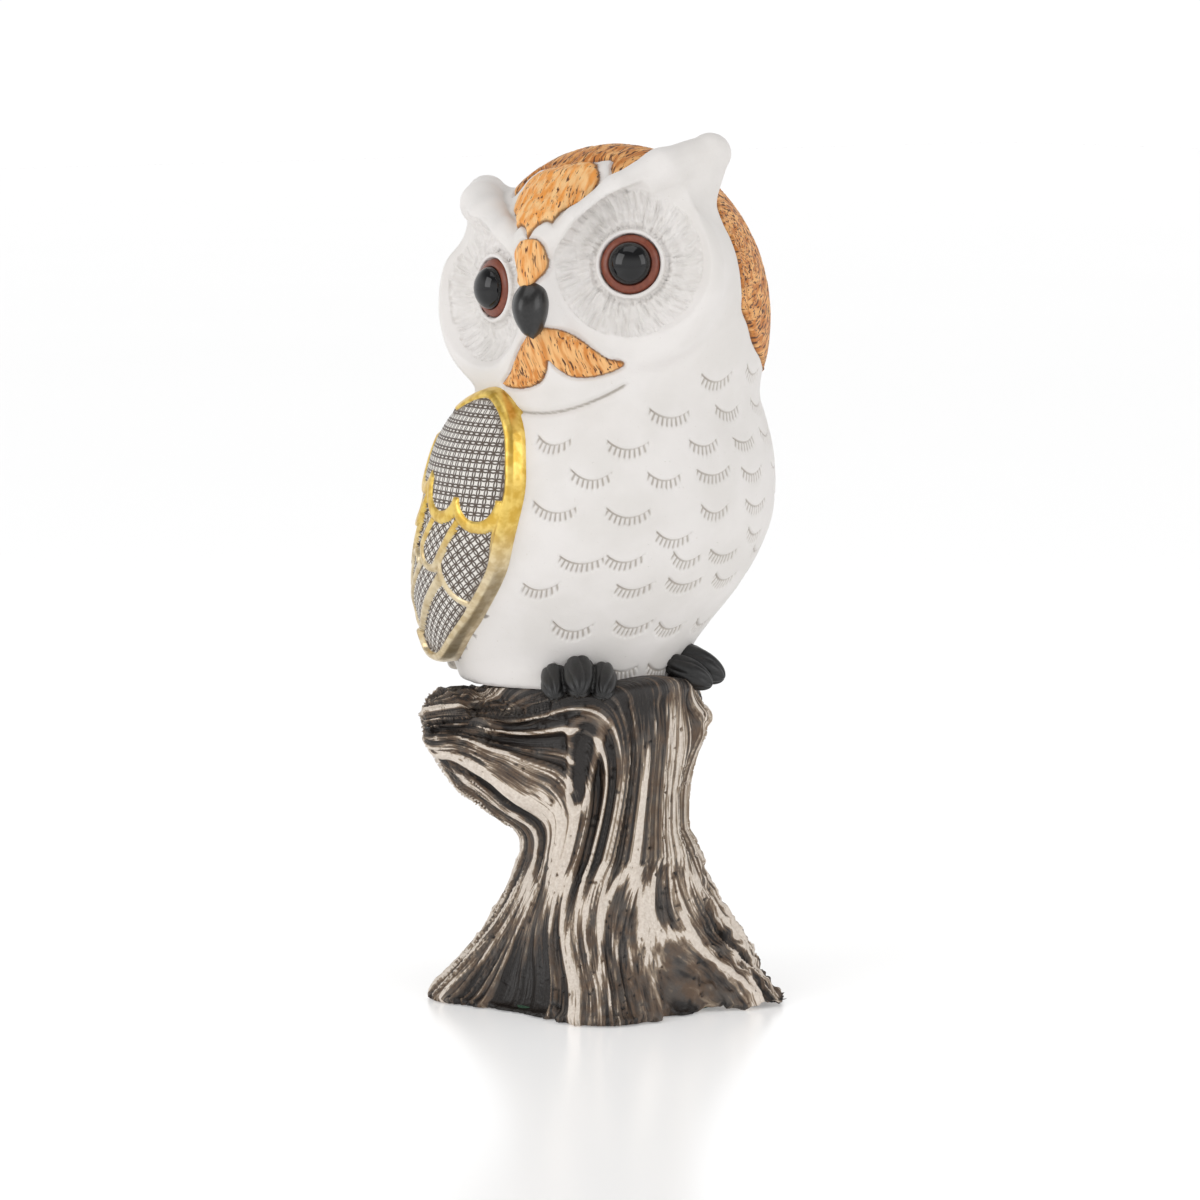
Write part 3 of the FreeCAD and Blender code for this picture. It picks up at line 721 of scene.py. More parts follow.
# height of each row of breast marks and the headings of its marks, in degrees about the body
MARK_ROWS = (
    (186, (273, 299)),
    (176, (252, 282, 310, 335)),
    (167.5, (209, 236, 267, 290, 311, 338)),
    (158.5, (224, 250, 271, 293, 318, 345)),
    (148.5, (213, 238, 272, 296, 322)),
    (140, (256, 299, 330)),
    (133.5, (225, 240, 264, 282, 310, 340)),
    (125.5, (213, 247, 268, 291, 322)),
    (112.5, (228, 254, 275, 300, 330)),
    (99.5, (232, 256, 284, 315)),
)


def about_body(points):
    """Heading of each point about the body, and its distance from the body's middle."""
    x, y, z = points.T
    _, _, middle = body_section(np.clip(z, SEAT_Z, NECK_Z))
    return compass(x, y - middle) % 360, np.hypot(x, y - middle)


def breast_marks(points):
    """Depth of the lash-shaped marks on the breast, and of the strokes that hang from them."""
    z = points[:, 2]
    around, out = about_body(points)
    cut = np.zeros(len(points))
    draw = np.random.default_rng(7)
    for row, headings in MARK_ROWS:
        for toward in headings:
            half, sag, tilt, lift = draw.uniform((5.6, 2.2, -0.12, -0.9), (7.2, 3.4, 0.06, 0.9))
            across = np.radians(around - toward) * out
            down = row + lift - z + tilt * across
            near = (np.abs(across) < 9) & (np.abs(down) < 6)
            a, d = across[near], down[near]
            curve = sag * (1 - (a / half) ** 2) - sag * 0.4
            below = d - curve
            inside = 1 - fade(np.abs(a), half - 1.0, half + 0.3)
            fan = a / (1 + 0.07 * np.maximum(below, 0))
            stroke = np.abs((fan / 1.3) % 1 - 0.5) * 1.3
            hang = fade(below, -0.4, 0.1) * (1 - fade(below, 2.1, 3.5))
            strength = bump_at(below, 0.42) * (1.0 - 0.5 * fade(a, -half, half))
            strength = np.maximum(strength, 0.85 * hang * bump_at(stroke, 0.4))
            cut[near] = np.maximum(cut[near], inside * strength)
    return cut


def mark_zone(points):
    around, out = about_body(points)
    hit = np.zeros(len(points), bool)
    for row, headings in MARK_ROWS:
        level = np.abs(row - points[:, 2] - 0.6) < 3.6
        for toward in headings:
            hit |= (np.abs(np.radians(around - toward) * out) < 7.6) & level
    return hit


def face_zone(points):
    local = head_local(points)
    out, _ = eye_coordinates(local)
    orange, _ = orange_distance(local)
    return (points[:, 2] > 172) & ((local[:, 1] < -8) | (orange < 2) | (out < 30))


def fine_zone(points):
    local = head_local(points)
    out, _ = eye_coordinates(local)
    orange, _ = orange_distance(local)
    dish = (out < 22.5) & (local[:, 1] < -12)
    patch = (orange < 1.2) & (local[:, 1] < -16) & (points[:, 2] > NECK_Z)
    edge = (np.abs(orange) < 0.9) & (points[:, 2] > NECK_Z)
    return dish | patch | edge | mark_zone(points)


def shape_owl():
    rough = bmesh.new()
    for z, r in ((105, 36), (125, 44), (148, 49), (168, 45), (185, 41)):
        middle = float(body_section(np.array([z]))[2][0])
        ball(rough, (0, middle, z), (r, r * 0.93, 16))
    ball(rough, (0, -5, 203), (43, 43, 46))
    for side in (-1, 1):
        for spot, size in FACE_BALLS:
            ball(rough, HEAD_PLACE @ on_side(side, spot), (size, size, size))
        for (a, b), size in zip(zip(BAND_LINE, BAND_LINE[1:]), BAND_THICK):
            for share in (0.0, 0.33, 0.67, 1.0):
                spot = [(1 - share) * p + share * q for p, q in zip(a, b)]
                ball(rough, HEAD_PLACE @ on_side(side, spot), (size, size, size))
    for spot in ((0, -40, -10), (0, -34, 12), (0, -36, -26)):
        ball(rough, HEAD_PLACE @ Vector(spot), (10, 10, 12))
    mesh = sculpted(rough, owl_form, 2.0, 1.3)
    mesh = refined(mesh, lambda p: face_zone(p) | mark_zone(p), owl_form)
    mesh = refined(mesh, fine_zone, owl_form)
    points, normals = read_points(mesh), read_normals(mesh)
    x, y, z = points.T
    local = head_local(points)
    out, along = eye_coordinates(local)
    on_head = fade(z, NECK_Z + 1, NECK_Z + 5)
    orange, dark = orange_distance(local)
    orange = np.where(z > NECK_Z + 1, orange, 9)
    # strokes in the dish round each eye fan out from the eye
    offset = folded_over(local) - EYE
    aside = np.cross(LOOK, (0, 0, 1.0))
    aside /= np.linalg.norm(aside)
    up = np.cross(aside, LOOK)
    turn = np.arctan2(offset @ up, offset @ aside)
    in_dish = fade(out, 9.5, 11) * (1 - fade(out, 20.6, 21.3))
    in_dish = in_dish * on_head * fade(-along, -6.5, -4.5)
    bend = turn + 0.012 * (out - 12)
    stroke = crest(columns(bend * 20, out / 4.5, 0.0), 31)
    weave = crest(columns(bend * 34, out / 2.2, 1.0), 32)
    height = in_dish * (0.75 * stroke**1.5 + 0.3 * weave - 0.95)
    wash = in_dish * (1 - fade(stroke + 0.3 * weave, 0.25, 0.8)) * 0.42
    # streaked orange feathers, a little proud, with an engraved outline
    across, ahead, high = local.T
    over = np.arctan2(ahead, high + 4)
    flow = columns(across / 1.2, np.hypot(ahead, high + 4) / 1.6, over * 4.2)
    inside = fade(-orange, -0.2, 0.8)
    lock = crest(flow, 33)
    height += inside * (0.45 + 0.55 * (lock - 0.6)) - 0.75 * bump_at(orange, 0.55)
    # groove under the chin
    chin = smooth_curve(across, (-24, -12, 0, 12, 25), (-36, -40, -41.5, -39.5, -34))
    bib = np.abs(high - chin) + 3 * fade(np.abs(across - 1), 16, 21)
    bib = np.where(ahead < -20, bib, 9)
    height -= 1.1 * bump_at(bib, 0.75)
    marks = breast_marks(points)
    plain = fade(orange, 0.5, 2.5)
    height -= 0.62 * marks * plain
    height += 0.16 * (grain(points / 9, 41) - 0.5) + 0.06 * (grain(points / 2.5, 42) - 0.5)
    write_points(mesh, points + normals * height[:, None])
    wash = np.maximum(wash, marks * plain)
    wash = np.maximum(wash, 0.9 * bump_at(bib, 0.6))
    keep(mesh, "wash", wash)
    keep(mesh, "orange", np.clip(orange, -6, 6))
    keep(mesh, "dark", dark)
    keep(mesh, "lock", flow)
    # painted shade: grey on the body just below the lower edge of each wing, where the wing shades it
    under_wing_shade = np.clip(np.where(np.abs(x) > 25, outline_distance(y, z, WING_OUTLINE), 9), -2, 9)
    keep(mesh, "under_wing_shade", under_wing_shade + 4 * (grain(points / 1.6, 43) - 0.5) + fade(z, 116, 124) * 6)
    return mesh


def split_owl(mesh, upper):
    """The head's or the body's part of the owl, closed at the joint."""
    shape = bmesh.new()
    shape.from_mesh(mesh)
    everything = shape.verts[:] + shape.edges[:] + shape.faces[:]
    sides = {"clear_inner": upper, "clear_outer": not upper}
    plane = {"plane_co": (0, 0, NECK_Z), "plane_no": (0, 0, 1)}
    bmesh.ops.bisect_plane(shape, geom=everything, **plane, **sides)
    rim = [e for e in shape.edges if e.is_boundary]
    bmesh.ops.holes_fill(shape, edges=rim, sides=0)
    for edge in rim:
        edge.smooth = False
    return to_mesh(shape, "part")


# ---- wings --------------------------------------------------------------------------------------

# side view of the folded wing: how far back and how high
WING_OUTLINE = [(2, 181.5), (-8.5, 179.0), (-16.4, 170.0), (-19.6, 157), (-18.4, 147)]
WING_OUTLINE += [(-14.0, 135.2), (-8.6, 126.5), (1.8, 116.2), (13, 108), (24.8, 100.4)]
WING_OUTLINE += [(33.5, 98.8), (41, 102.5), (44, 121), (44.6, 140), (40, 158.5), (25, 172.6)]
WING_OUTLINE = rounded_outline(WING_OUTLINE)
RIM_LINE = np.vstack([WING_OUTLINE[-3:], WING_OUTLINE[:57]])  # top, front and bottom, not the rear
LEFT_WING_BACK = 7.0  # how far back the front edge of the left wing sits
# feathers from the uppermost layer down: start, end, half width, height of the layer
FEATHERS = (
    ((4, 147), (16.5, 133.5), 6.0, 1.0),
    ((19, 160), (32, 146), 7.0, 0.9),
    ((-4, 146), (1.5, 129), 11.5, 0.5),
    ((31, 146), (41, 133), 6.5, 0.3),
    ((15, 131), (37, 114), 6.0, 0.2),
    ((34, 124), (42, 112), 6.0, 0.0),
    ((10, 118), (36, 104), 9.0, -0.3),
)
PITCH = 2.5  # spacing of the stamped circles
RING_R = 0.68  # radius of a circle, in spacings, so that neighbours overlap
SLANT = math.radians(42)  # turn of the circles' rows on the feathers
BODY_R = 47  # rough radius of the body, for distance round it


def set_back(y, back):
    """Where a point lies in the wing's side view when its front edge sits further back."""
    return y - back * (1 - fade(y, -10, 44))


def wing_form(points, back):
    x, y, z = points.T
    share = (z - SEAT_Z) / BODY_HEIGHT
    wide, deep, middle = body_section(z)
    sweep = 5.5 * np.maximum(0, 1 - share / 0.6)
    grow = 3.7 + 0.25 * sweep
    outer = np.hypot(x / (wide + grow), (y - middle - sweep) / (deep + grow)) - 1
    outer = outer * (wide + deep + 2 * grow) / 2
    side = outline_distance(set_back(y, back), z, WING_OUTLINE)
    form = both(outer, side, 3.0)
    form = carve(form, body_form(points) + 2.2, 0.4)
    return both(form, x + 8, 0.5)


def shape_wing(back):
    rough = bmesh.new()
    grid = np.array([(y, z) for y in range(-14, 44, 6) for z in range(104, 180, 6)])
    spots = grid[outline_distance(grid[:, 0], grid[:, 1], WING_OUTLINE) < -2]
    for y, z in np.vstack([spots, WING_OUTLINE[::2]]):
        wide, deep, middle = (float(v[0]) for v in body_section(np.array([float(z)])))
        x = -wide * math.sqrt(max(0.05, 1 - ((y - middle) / deep) ** 2))
        ball(rough, (x - 1.5, y, z), (4.5, 4.5, 4.5))
    mesh = sculpted(rough, lambda p: wing_form(p, back), 1.6, 0.42)
    points = read_points(mesh)
    x, y, z = points.T
    wide, deep, middle = body_section(z)
    away = columns(x / wide**2, (y - middle) / deep**2, 0.0)
    away /= np.linalg.norm(away, axis=1, keepdims=True)
    outward = fade(body_form(points), 1.4, 2.8)
    y = set_back(y, back)
    side = outline_distance(y, z, WING_OUTLINE)
    # upper panel: everything above a scalloped edge
    panel = 147 + 0.8 * np.maximum(y - 10, 0) - z
    for centre in ((-7, 151), (9, 153), (24.5, 160), (38, 169)):
        panel = np.minimum(panel, np.hypot(y - centre[0], z - centre[1]) - 10.5)
    step = np.full(len(points), -0.9)
    depth = np.full(len(points), 9.0)
    arc = BODY_R * np.arctan2(y - middle, -x)
    weave = columns(arc, z) / PITCH
    cos, sin = math.cos(SLANT), math.sin(SLANT)
    slanted = columns(arc * cos - z * sin, arc * sin + z * cos) / PITCH
    chosen = np.zeros(len(points), bool)
    top = panel < 0
    depth[top], step[top], chosen[top] = -panel[top], 1.4, True
    border = np.where(top, 3.6, 2.4)
    for start, end, half, layer in FEATHERS:
        a, b = np.array(start, float), np.array(end, float)
        edge = b - a
        along = ((y - a[0]) * edge[0] + (z - a[1]) * edge[1]) / (edge @ edge)
        along = np.clip(along, -0.3, 1)
        off = half - np.hypot(y - a[0] - along * edge[0], z - a[1] - along * edge[1])
        here = ~chosen & (off > 0)
        depth[here], step[here] = off[here], layer
        weave[here] = slanted[here]
        chosen |= here
    weave[~chosen] = slanted[~chosen]
    rim = outline_distance(y, z, RIM_LINE, closed=False)
    gilt = np.minimum(depth - border, rim - 3.0)
    bead = np.clip(1 - ((depth - border / 2) / (border / 2)) ** 2, 0, 1) ** 0.5
    roll = np.clip(1 - ((rim - 1.4) / 1.8) ** 2, 0, 1) ** 0.5
    inner = bump_at(rim - 3.8, 0.5)
    height = 0.75 * step + 0.85 * bead * fade(-gilt, -0.2, 0.2)
    on_rim = fade(3.4 - rim, 0.0, 1.2)
    height = height * (1 - on_rim) + on_rim * (1.0 + 1.3 * roll)
    height = height + 0.5 * inner * (z > 146) * (panel < 0)
    height -= 0.7 * bump_at(depth, 0.35) * (1 - on_rim) * (panel > 0)
    height = np.clip(height - 1.1, -2.2, 0.9) * outward * fade(-side, -0.1, 0.9)
    write_points(mesh, points + away * height[:, None])
    keep(mesh, "gilt", np.where(outward > 0.1, gilt, np.where(rim < 6, -1.0, 1.0)))
    keep(mesh, "weave", columns(*weave.T, 0.0))
    # painted shade: grey on the panel along the inner edge of the gold rim and along the feather
    # outlines, where the raised edges shade it
    keep(mesh, "wash_and_edge_shade", bump_at(np.minimum(np.abs(depth), np.abs(rim - 3.4)), 1.3))
    return mesh


def mirrored(mesh):
    """The same piece for the other side of the owl, right side out."""
    shape = bmesh.new()
    shape.from_mesh(mesh)
    bmesh.ops.scale(shape, vec=(-1, 1, 1), verts=shape.verts)
    bmesh.ops.reverse_faces(shape, faces=shape.faces)
    return to_mesh(shape, "mirrored")


# ---- small pieces -------------------------------------------------------------------------------


def shape_tail():
    def form(points):
        x, y, z = points.T
        share = np.clip((z - SEAT_Z) / 40, 0, 1)
        wide = smooth_curve(share, (0, 0.3, 0.65, 1), (18.5, 19.5, 18, 10))
        back = 49.3 + smooth_curve(share, (0, 0.3, 0.65, 1), (0, 0.5, 0, -4))
        thick = 5.5 + 3 * (1 - share)
        slab = (length(x / wide, (y - back) / thick) - 1) * thick
        slab = both(slab, np.abs(z - 113) - 20, 2.0)
        return carve(slab, body_form(points) + 1.0, 0.4)

    rough = bmesh.new()
    for z in range(97, 132, 6):
        for x in (-10, 0, 10):
            ball(rough, (x, 51, z), (7, 5, 6))
    mesh = sculpted(rough, form, 1.5, 0.6)
    points, normals = read_points(mesh), read_normals(mesh)
    x, y, z = points.T
    barb = crest(columns(x / 3.2, z / 30, 0.0), 51)
    fine = crest(columns(x, z / 12, 1.0), 52)
    quill = np.abs((x / 8.5) % 1 - 0.5) * 8.5
    height = 0.7 * barb + 0.35 * fine - 0.9 * bump_at(quill, 0.5) - 0.5
    write_points(mesh, points + normals * height[:, None])
    # dark wash in the valleys between the barbs
    keep(mesh, "wash_and_edge_shade", np.clip(1.1 - barb, 0, 1))
    return mesh


def shape_foot(side):
    """Three curled toes, each with grooves along it."""
    ahead = heading(270 + side * 40)
    across = across_from(ahead)
    centre = np.array([side * FOOT_OUT, -14.5, SEAT_Z + 5])
    axis = ahead - np.array([0, 0, 0.55])
    axis /= np.linalg.norm(axis)
    lift = np.cross(across, axis)
    toes = []
    for place in (-1, 0, 1):
        size = 1.0 if place == 0 else 0.87
        spot = centre + across * place * 7.0 - ahead * abs(place) * 1.5 - (0, 0, abs(place) * 1.8)
        toes.append((spot, size))

    def toe(points, spot, size):
        offset = points - spot
        long, thick = 9.5 * size, 4.75 * size
        egg = length(offset @ axis / long, offset @ across / thick, offset @ lift / thick)
        return (egg - 1) * 5 * size

    def form(points):
        parts = [toe(points, spot, size) for spot, size in toes]
        whole = join(join(parts[0], parts[1], 0.5), parts[2], 0.5)
        return carve(whole, body_form(points) + 0.5, 0.5)

    rough = bmesh.new()
    for spot, size in toes:
        for step in (-4, 0, 4):
            ball(rough, spot + axis * step, (4, 4, 4))
    mesh = sculpted(rough, form, 0.8, 0.3)
    points, normals = read_points(mesh), read_normals(mesh)
    parts = np.array([toe(points, spot, size) for spot, size in toes])
    owner = parts.argmin(0)
    spots, sizes = np.array([t[0] for t in toes]), np.array([t[1] for t in toes])
    offset = (points - spots[owner]) / sizes[owner][:, None]
    twist = np.arctan2(offset @ lift, offset @ across)
    twist = twist + 0.06 * (offset @ axis) * np.sign(owner - 1.2)
    waves = np.abs(np.sin(twist * 3.0 + owner))
    between = np.diff(np.sort(parts, axis=0)[:2], axis=0)[0]
    height = 0.5 * (waves**0.7 - 0.85) - 0.25 * bump_at(between, 0.5)
    write_points(mesh, points + normals * height[:, None])
    return mesh


def shape_beak():
    """Hooked teardrop."""
    shape = bmesh.new()
    bmesh.ops.create_uvsphere(shape, u_segments=56, v_segments=40, radius=1.0)
    stations = (0, 0.05, 0.14, 0.32, 0.55, 0.76, 0.92, 1.0)
    widths = (0, 0.45, 0.78, 1.0, 0.97, 0.72, 0.38, 0.0)
    depths = (0, 0.42, 0.72, 1.0, 1.0, 0.8, 0.45, 0.0)
    for vert in shape.verts:
        share = (1 - vert.co.z) / 2
        flat = Vector((vert.co.x, vert.co.y, 0))
        flat = flat.normalized() if flat.length > 1e-6 else flat
        at = np.array([share])
        wide = float(smooth_curve(at, stations, widths)[0]) * 5.0
        thick = float(smooth_curve(at, stations, depths)[0]) * 5.5
        hook = 2.0 - 2.5 * math.sin(math.pi / 2 * share)
        keel = 0.35 * max(0.0, -flat.y) ** 6
        vert.co = (flat.x * wide, flat.y * thick + hook - 50 - keel, -4 - share * 16.5)
    bmesh.ops.transform(shape, matrix=HEAD_PLACE, verts=shape.verts)
    bmesh.ops.recalc_face_normals(shape, faces=shape.faces)
    return to_mesh(shape, "beak")


def turned(profile, place):
    """Solid turned about Z from (radius, height) points, then put in place."""
    shape = bmesh.new()
    points = [shape.verts.new((r, 0, h)) for r, h in profile]
    closed = profile[0][0] > 0.01
    pairs = list(zip(points, points[1:])) + ([(points[-1], points[0])] if closed else [])
    edges = [shape.edges.new(pair) for pair in pairs]
    settings = {"cent": (0, 0, 0), "axis": (0, 0, 1), "angle": math.tau, "steps": 96}
    bmesh.ops.spin(shape, geom=points + edges, use_merge=True, **settings)
    bmesh.ops.remove_doubles(shape, verts=shape.verts, dist=0.001)
    bmesh.ops.transform(shape, matrix=place, verts=shape.verts)
    bmesh.ops.recalc_face_normals(shape, faces=shape.faces)
    return to_mesh(shape, "turned")


def eye_place(side):
    turn = on_side(side, LOOK).to_track_quat("Z", "Y").to_matrix().to_4x4()
    return HEAD_PLACE @ Matrix.Translation(on_side(side, EYE)) @ turn


def shape_iris(side):
    profile = [(6.25, -4), (8.1, -4), (8.4, -3.6), (8.45, -0.3), (8.25, 0.35), (7.7, 0.85)]
    return turned(profile + [(6.9, 1.2), (6.4, 1.3), (6.25, 1.2)], eye_place(side))


def shape_pupil(side):
    bows = np.linspace(0, math.pi / 2, 24)[:-1]
    dome = [(PUPIL_R * math.cos(a), 1.0 + 4.6 * math.sin(a)) for a in bows]
    foot = [(0, -3.8), (PUPIL_R - 0.3, -3.8), (PUPIL_R, -3.5)]
    return turned(foot + dome + [(0, 5.6)], eye_place(side))


# ---- materials ----------------------------------------------------------------------------------


def bark_paint(look):
    """Cast resin bark: near-black brown wash in the grooves, cream dry-brushed over the crests."""
    material, tree, shader = new_material("Painted resin bark")
    place = add(tree, "ShaderNodeTexCoord").outputs["Object"]
    strand = stored(tree, "strand", "Vector")
    relief = stored(tree, "relief")
    fine = speckle(tree, strand, 1.9, 4.0)  # strands about half a millimetre apart
    break_up = speckle(tree, place, per_mm(0.22), 4.0)
    fleck = speckle(tree, place, per_mm(1.2), 3.0)
    # the relief also carries painted shade at the top of the stump and in the gullies between the roots
    level = calculate(tree, "ADD", relief, swing(tree, fine, 0.8))
    level = calculate(tree, "ADD", level, swing(tree, break_up, 0.16))
    mid = mix(tree, ranged(tree, break_up, 0.35, 0.65), linear("#64503F"), linear("#57504A"))
    dark = mix(tree, ranged(tree, level, 0.28, 0.52), linear("#1A130F"), mid)
    height_tone = mix(tree, ranged(tree, level, 0.52, 0.66), dark, linear("#9F8D79"))
    cream = mix(tree, ranged(tree, fleck, 0.3, 0.7), linear(look.bark_cream), linear("#DACDBF"))
    colour = mix(tree, ranged(tree, level, 0.64, 0.71), height_tone, cream)
    tree.links.new(colour, shader.inputs["Base Color"])
    rough = ranged(tree, level, 0.3, 0.65, 0.38, 0.62)
    tree.links.new(rough, shader.inputs["Roughness"])
    grit = calculate(tree, "ADD", fine, calculate(tree, "MULTIPLY", fleck, 0.35))
    roughen(tree, shader, grit, 0.8, 0.6)
    return material


def owl_paint(look):
    """Matt white paint, grey wash in the cuts, and brushed orange feathers with brown streaks."""
    material, tree, shader = new_material("Matt white paint with orange feathers")
    place = add(tree, "ShaderNodeTexCoord").outputs["Object"]
    cloud = speckle(tree, place, per_mm(0.05), 3.0)
    dust = speckle(tree, place, per_mm(1.4), 3.0)
    white = mix(tree, ranged(tree, cloud, 0.35, 0.65), linear(look.white), linear("#E2DEDA"))
    white = mix(tree, ranged(tree, dust, 0.66, 0.8), white, linear("#D9D3CC"))
    white = mix(tree, ranged(tree, stored(tree, "wash"), 0.25, 1.1), white, linear("#A0968A"))
    # painted shade on the body just below the lower edge of each wing
    under_wing_shade = ranged(tree, stored(tree, "under_wing_shade"), 0.2, -1.2)
    white = mix(tree, under_wing_shade, white, linear("#8F8780"))
    lock = stored(tree, "lock", "Vector")
    streak = speckle(tree, lock, 0.9, 3.0)
    thin = speckle(tree, lock, 2.2, 2.0)
    dark = stored(tree, "dark")
    pale = mix(tree, ranged(tree, streak, 0.35, 0.62), linear("#EE9D45"), linear("#F8C88A"))
    deep = mix(tree, ranged(tree, streak, 0.38, 0.62), linear("#C67A33"), linear("#F0B470"))
    feather = mix(tree, dark, pale, deep)
    brown = ranged(tree, calculate(tree, "ADD", thin, calculate(tree, "MULTIPLY", dark, 0.07)), 0.6, 0.68)
    feather = mix(tree, brown, feather, linear("#5E3418"))
    edge = stored(tree, "orange")
    wander = calculate(tree, "ADD", edge, swing(tree, dust, 0.5))
    colour = mix(tree, ranged(tree, wander, 0.12, -0.12), white, feather)
    line = calculate(tree, "ABSOLUTE", calculate(tree, "ADD", wander, 0.15))
    line = ranged(tree, line, 0.5, 0.05, 0.0, 0.75)
    line = calculate(tree, "MULTIPLY", line, ranged(tree, dark, 0.4, 1.0, 1.0, 0.5))
    colour = mix(tree, line, colour, linear("#5A3A22"))
    tree.links.new(colour, shader.inputs["Base Color"])
    shader.inputs["Roughness"].default_value = 0.52
    grit = calculate(tree, "ADD", dust, calculate(tree, "MULTIPLY", thin, 0.5))
    roughen(tree, shader, grit, 0.22, 0.25)
    return material


def wing_paint(look):
    """Gilt metal leaf on the rims, white paint over a dark ground between stamped circles."""
    material, tree, shader = new_material("Gold leaf over stamped and washed resin")
    place = add(tree, "ShaderNodeTexCoord").outputs["Object"]
    spots = add(tree, "ShaderNodeSeparateXYZ", {0: stored(tree, "weave", "Vector")})
    offs = []
    for axis in (0, 1):
        # the whole number keeps the value above zero
        part = calculate(tree, "FRACT", calculate(tree, "ADD", spots.outputs[axis], 500.0))
        offs.append(calculate(tree, "ABSOLUTE", calculate(tree, "SUBTRACT", part, 0.5)))
    near = [calculate(tree, "SUBTRACT", 0.5, off) for off in offs]
    far = [calculate(tree, "ADD", 0.5, off) for off in offs]
    ring = None
    for a in (near[0], far[0]):
        for b in (near[1], far[1]):
            squares = [calculate(tree, "MULTIPLY", part, part) for part in (a, b)]
            away = calculate(tree, "SQRT", calculate(tree, "ADD", *squares))
            off = calculate(tree, "ABSOLUTE", calculate(tree, "SUBTRACT", away, RING_R))
            ring = off if ring is None else calculate(tree, "MINIMUM", ring, off)
    wear = speckle(tree, place, per_mm(0.5))
    ring = calculate(tree, "ADD", ring, swing(tree, wear, 0.06))
    wash_and_edge_shade = stored(tree, "wash_and_edge_shade")
    # painted shade along the inner edge of the rim and the feather outlines, in patches
    edge_shade = calculate(tree, "MULTIPLY", wash_and_edge_shade, ranged(tree, wear, 0.35, 0.65, 0.3, 1.0))
    white = mix(tree, edge_shade, linear("#E9E5DF"), linear("#8E857B"))
    panel = mix(tree, ranged(tree, ring, 0.115, 0.065), white, linear("#564A41"))
    height = add(tree, "ShaderNodeSeparateXYZ", {0: place}).outputs[2]
    bright = ranged(tree, height, 0.128, 0.146)
    sheen = speckle(tree, place, per_mm(0.35), 2.0)
    pale = mix(tree, ranged(tree, sheen, 0.35, 0.65), linear(look.gold_pale), linear("#CBB68E"))
    rich = mix(tree, ranged(tree, sheen, 0.35, 0.65), linear(look.gold), linear("#D2AA48"))
    leaf = mix(tree, bright, pale, rich)
    gilt = ranged(tree, stored(tree, "gilt"), 0.12, -0.12)
    colour = mix(tree, gilt, panel, leaf)
    tree.links.new(colour, shader.inputs["Base Color"])
    tree.links.new(calculate(tree, "MULTIPLY", gilt, 0.8), shader.inputs["Metallic"])
    tree.links.new(ranged(tree, gilt, 0.0, 1.0, 0.55, 0.32), shader.inputs["Roughness"])
    fine = speckle(tree, place, per_mm(1.5), 2.0)
    bare = calculate(tree, "SUBTRACT", 1.0, gilt)
    stamp = calculate(tree, "MULTIPLY", ranged(tree, ring, 0.04, 0.2), bare)
    grit = calculate(tree, "ADD", calculate(tree, "MULTIPLY", fine, 0.3), stamp)
    roughen(tree, shader, grit, 0.5, 0.3)
    return material


def tail_paint(look):
    """Silver-grey rub over cast feather barbs."""
    material, tree, shader = new_material("Silver rubbed resin")
    place = add(tree, "ShaderNodeTexCoord").outputs["Object"]
    fleck = speckle(tree, place, per_mm(0.9), 3.0)
    # on the tail this attribute holds only the dark wash between the barbs
    wash_and_edge_shade = calculate(tree, "ADD", stored(tree, "wash_and_edge_shade"), calculate(tree, "MULTIPLY", fleck, 0.5))
    colour = mix(tree, ranged(tree, wash_and_edge_shade, 0.45, 1.1), linear("#B9B1A6"), linear("#4F4841"))
    tree.links.new(colour, shader.inputs["Base Color"])
    shader.inputs["Metallic"].default_value = 0.35
    shader.inputs["Roughness"].default_value = 0.45
    roughen(tree, shader, fleck, 0.3, 0.3)
    return material


def speckled_paint(name, low, high, grains, roughness, bump=0.1, metallic=0.0, coat=0.0):
    """Paint or stock of nearly one colour, with a fine grain."""
    material, tree, shader = new_material(name)
    place = add(tree, "ShaderNodeTexCoord").outputs["Object"]
    fleck = speckle(tree, place, per_mm(grains))
    colour = mix(tree, ranged(tree, fleck, 0.3, 0.7), linear(low), linear(high))
    tree.links.new(colour, shader.inputs["Base Color"])
    shader.inputs["Roughness"].default_value = roughness
    shader.inputs["Metallic"].default_value = metallic
    shader.inputs["Coat Weight"].default_value = coat
    shader.inputs["Coat Roughness"].default_value = 0.05
    roughen(tree, shader, fleck, bump, 0.15)
    return material


# ---- settings -----------------------------------------------------------------------------------


class OwlLook(bpy.types.PropertyGroup):
    white: StringProperty(
        name="White", description="Main paint of the owl, sRGB hex", default="#E9E5E2"
    )
    bark_cream: StringProperty(
        name="Bark cream", description="Dry-brushed crests, sRGB hex", default="#EADFD3"
    )
    gold: StringProperty(
        name="Gold", description="Bright leaf at the top of the wing, sRGB hex", default="#EBCB6E"
    )
    gold_pale: StringProperty(
        name="Pale gold", description="Leaf low on the wing, sRGB hex", default="#E3D3B2"
    )


class OwlStage(bpy.types.PropertyGroup):
    distance: FloatProperty(
        name="Distance",
        description="From the camera to the owl's middle",
        default=1.6,
        subtype="DISTANCE",
        unit="LENGTH",
    )
    lens: FloatProperty(name="Lens", description="Focal length in millimetres", default=163.8)
    azimuth: FloatProperty(
        name="Azimuth",
        description="Heading of the camera",
        default=math.radians(-40),
        subtype="ANGLE",
        unit="ROTATION",
    )
    elevation: FloatProperty(
        name="Elevation",
        description="Height angle of the camera",
        default=math.radians(6.5),
        subtype="ANGLE",
        unit="ROTATION",
    )


# ---- operators ----------------------------------------------------------------------------------


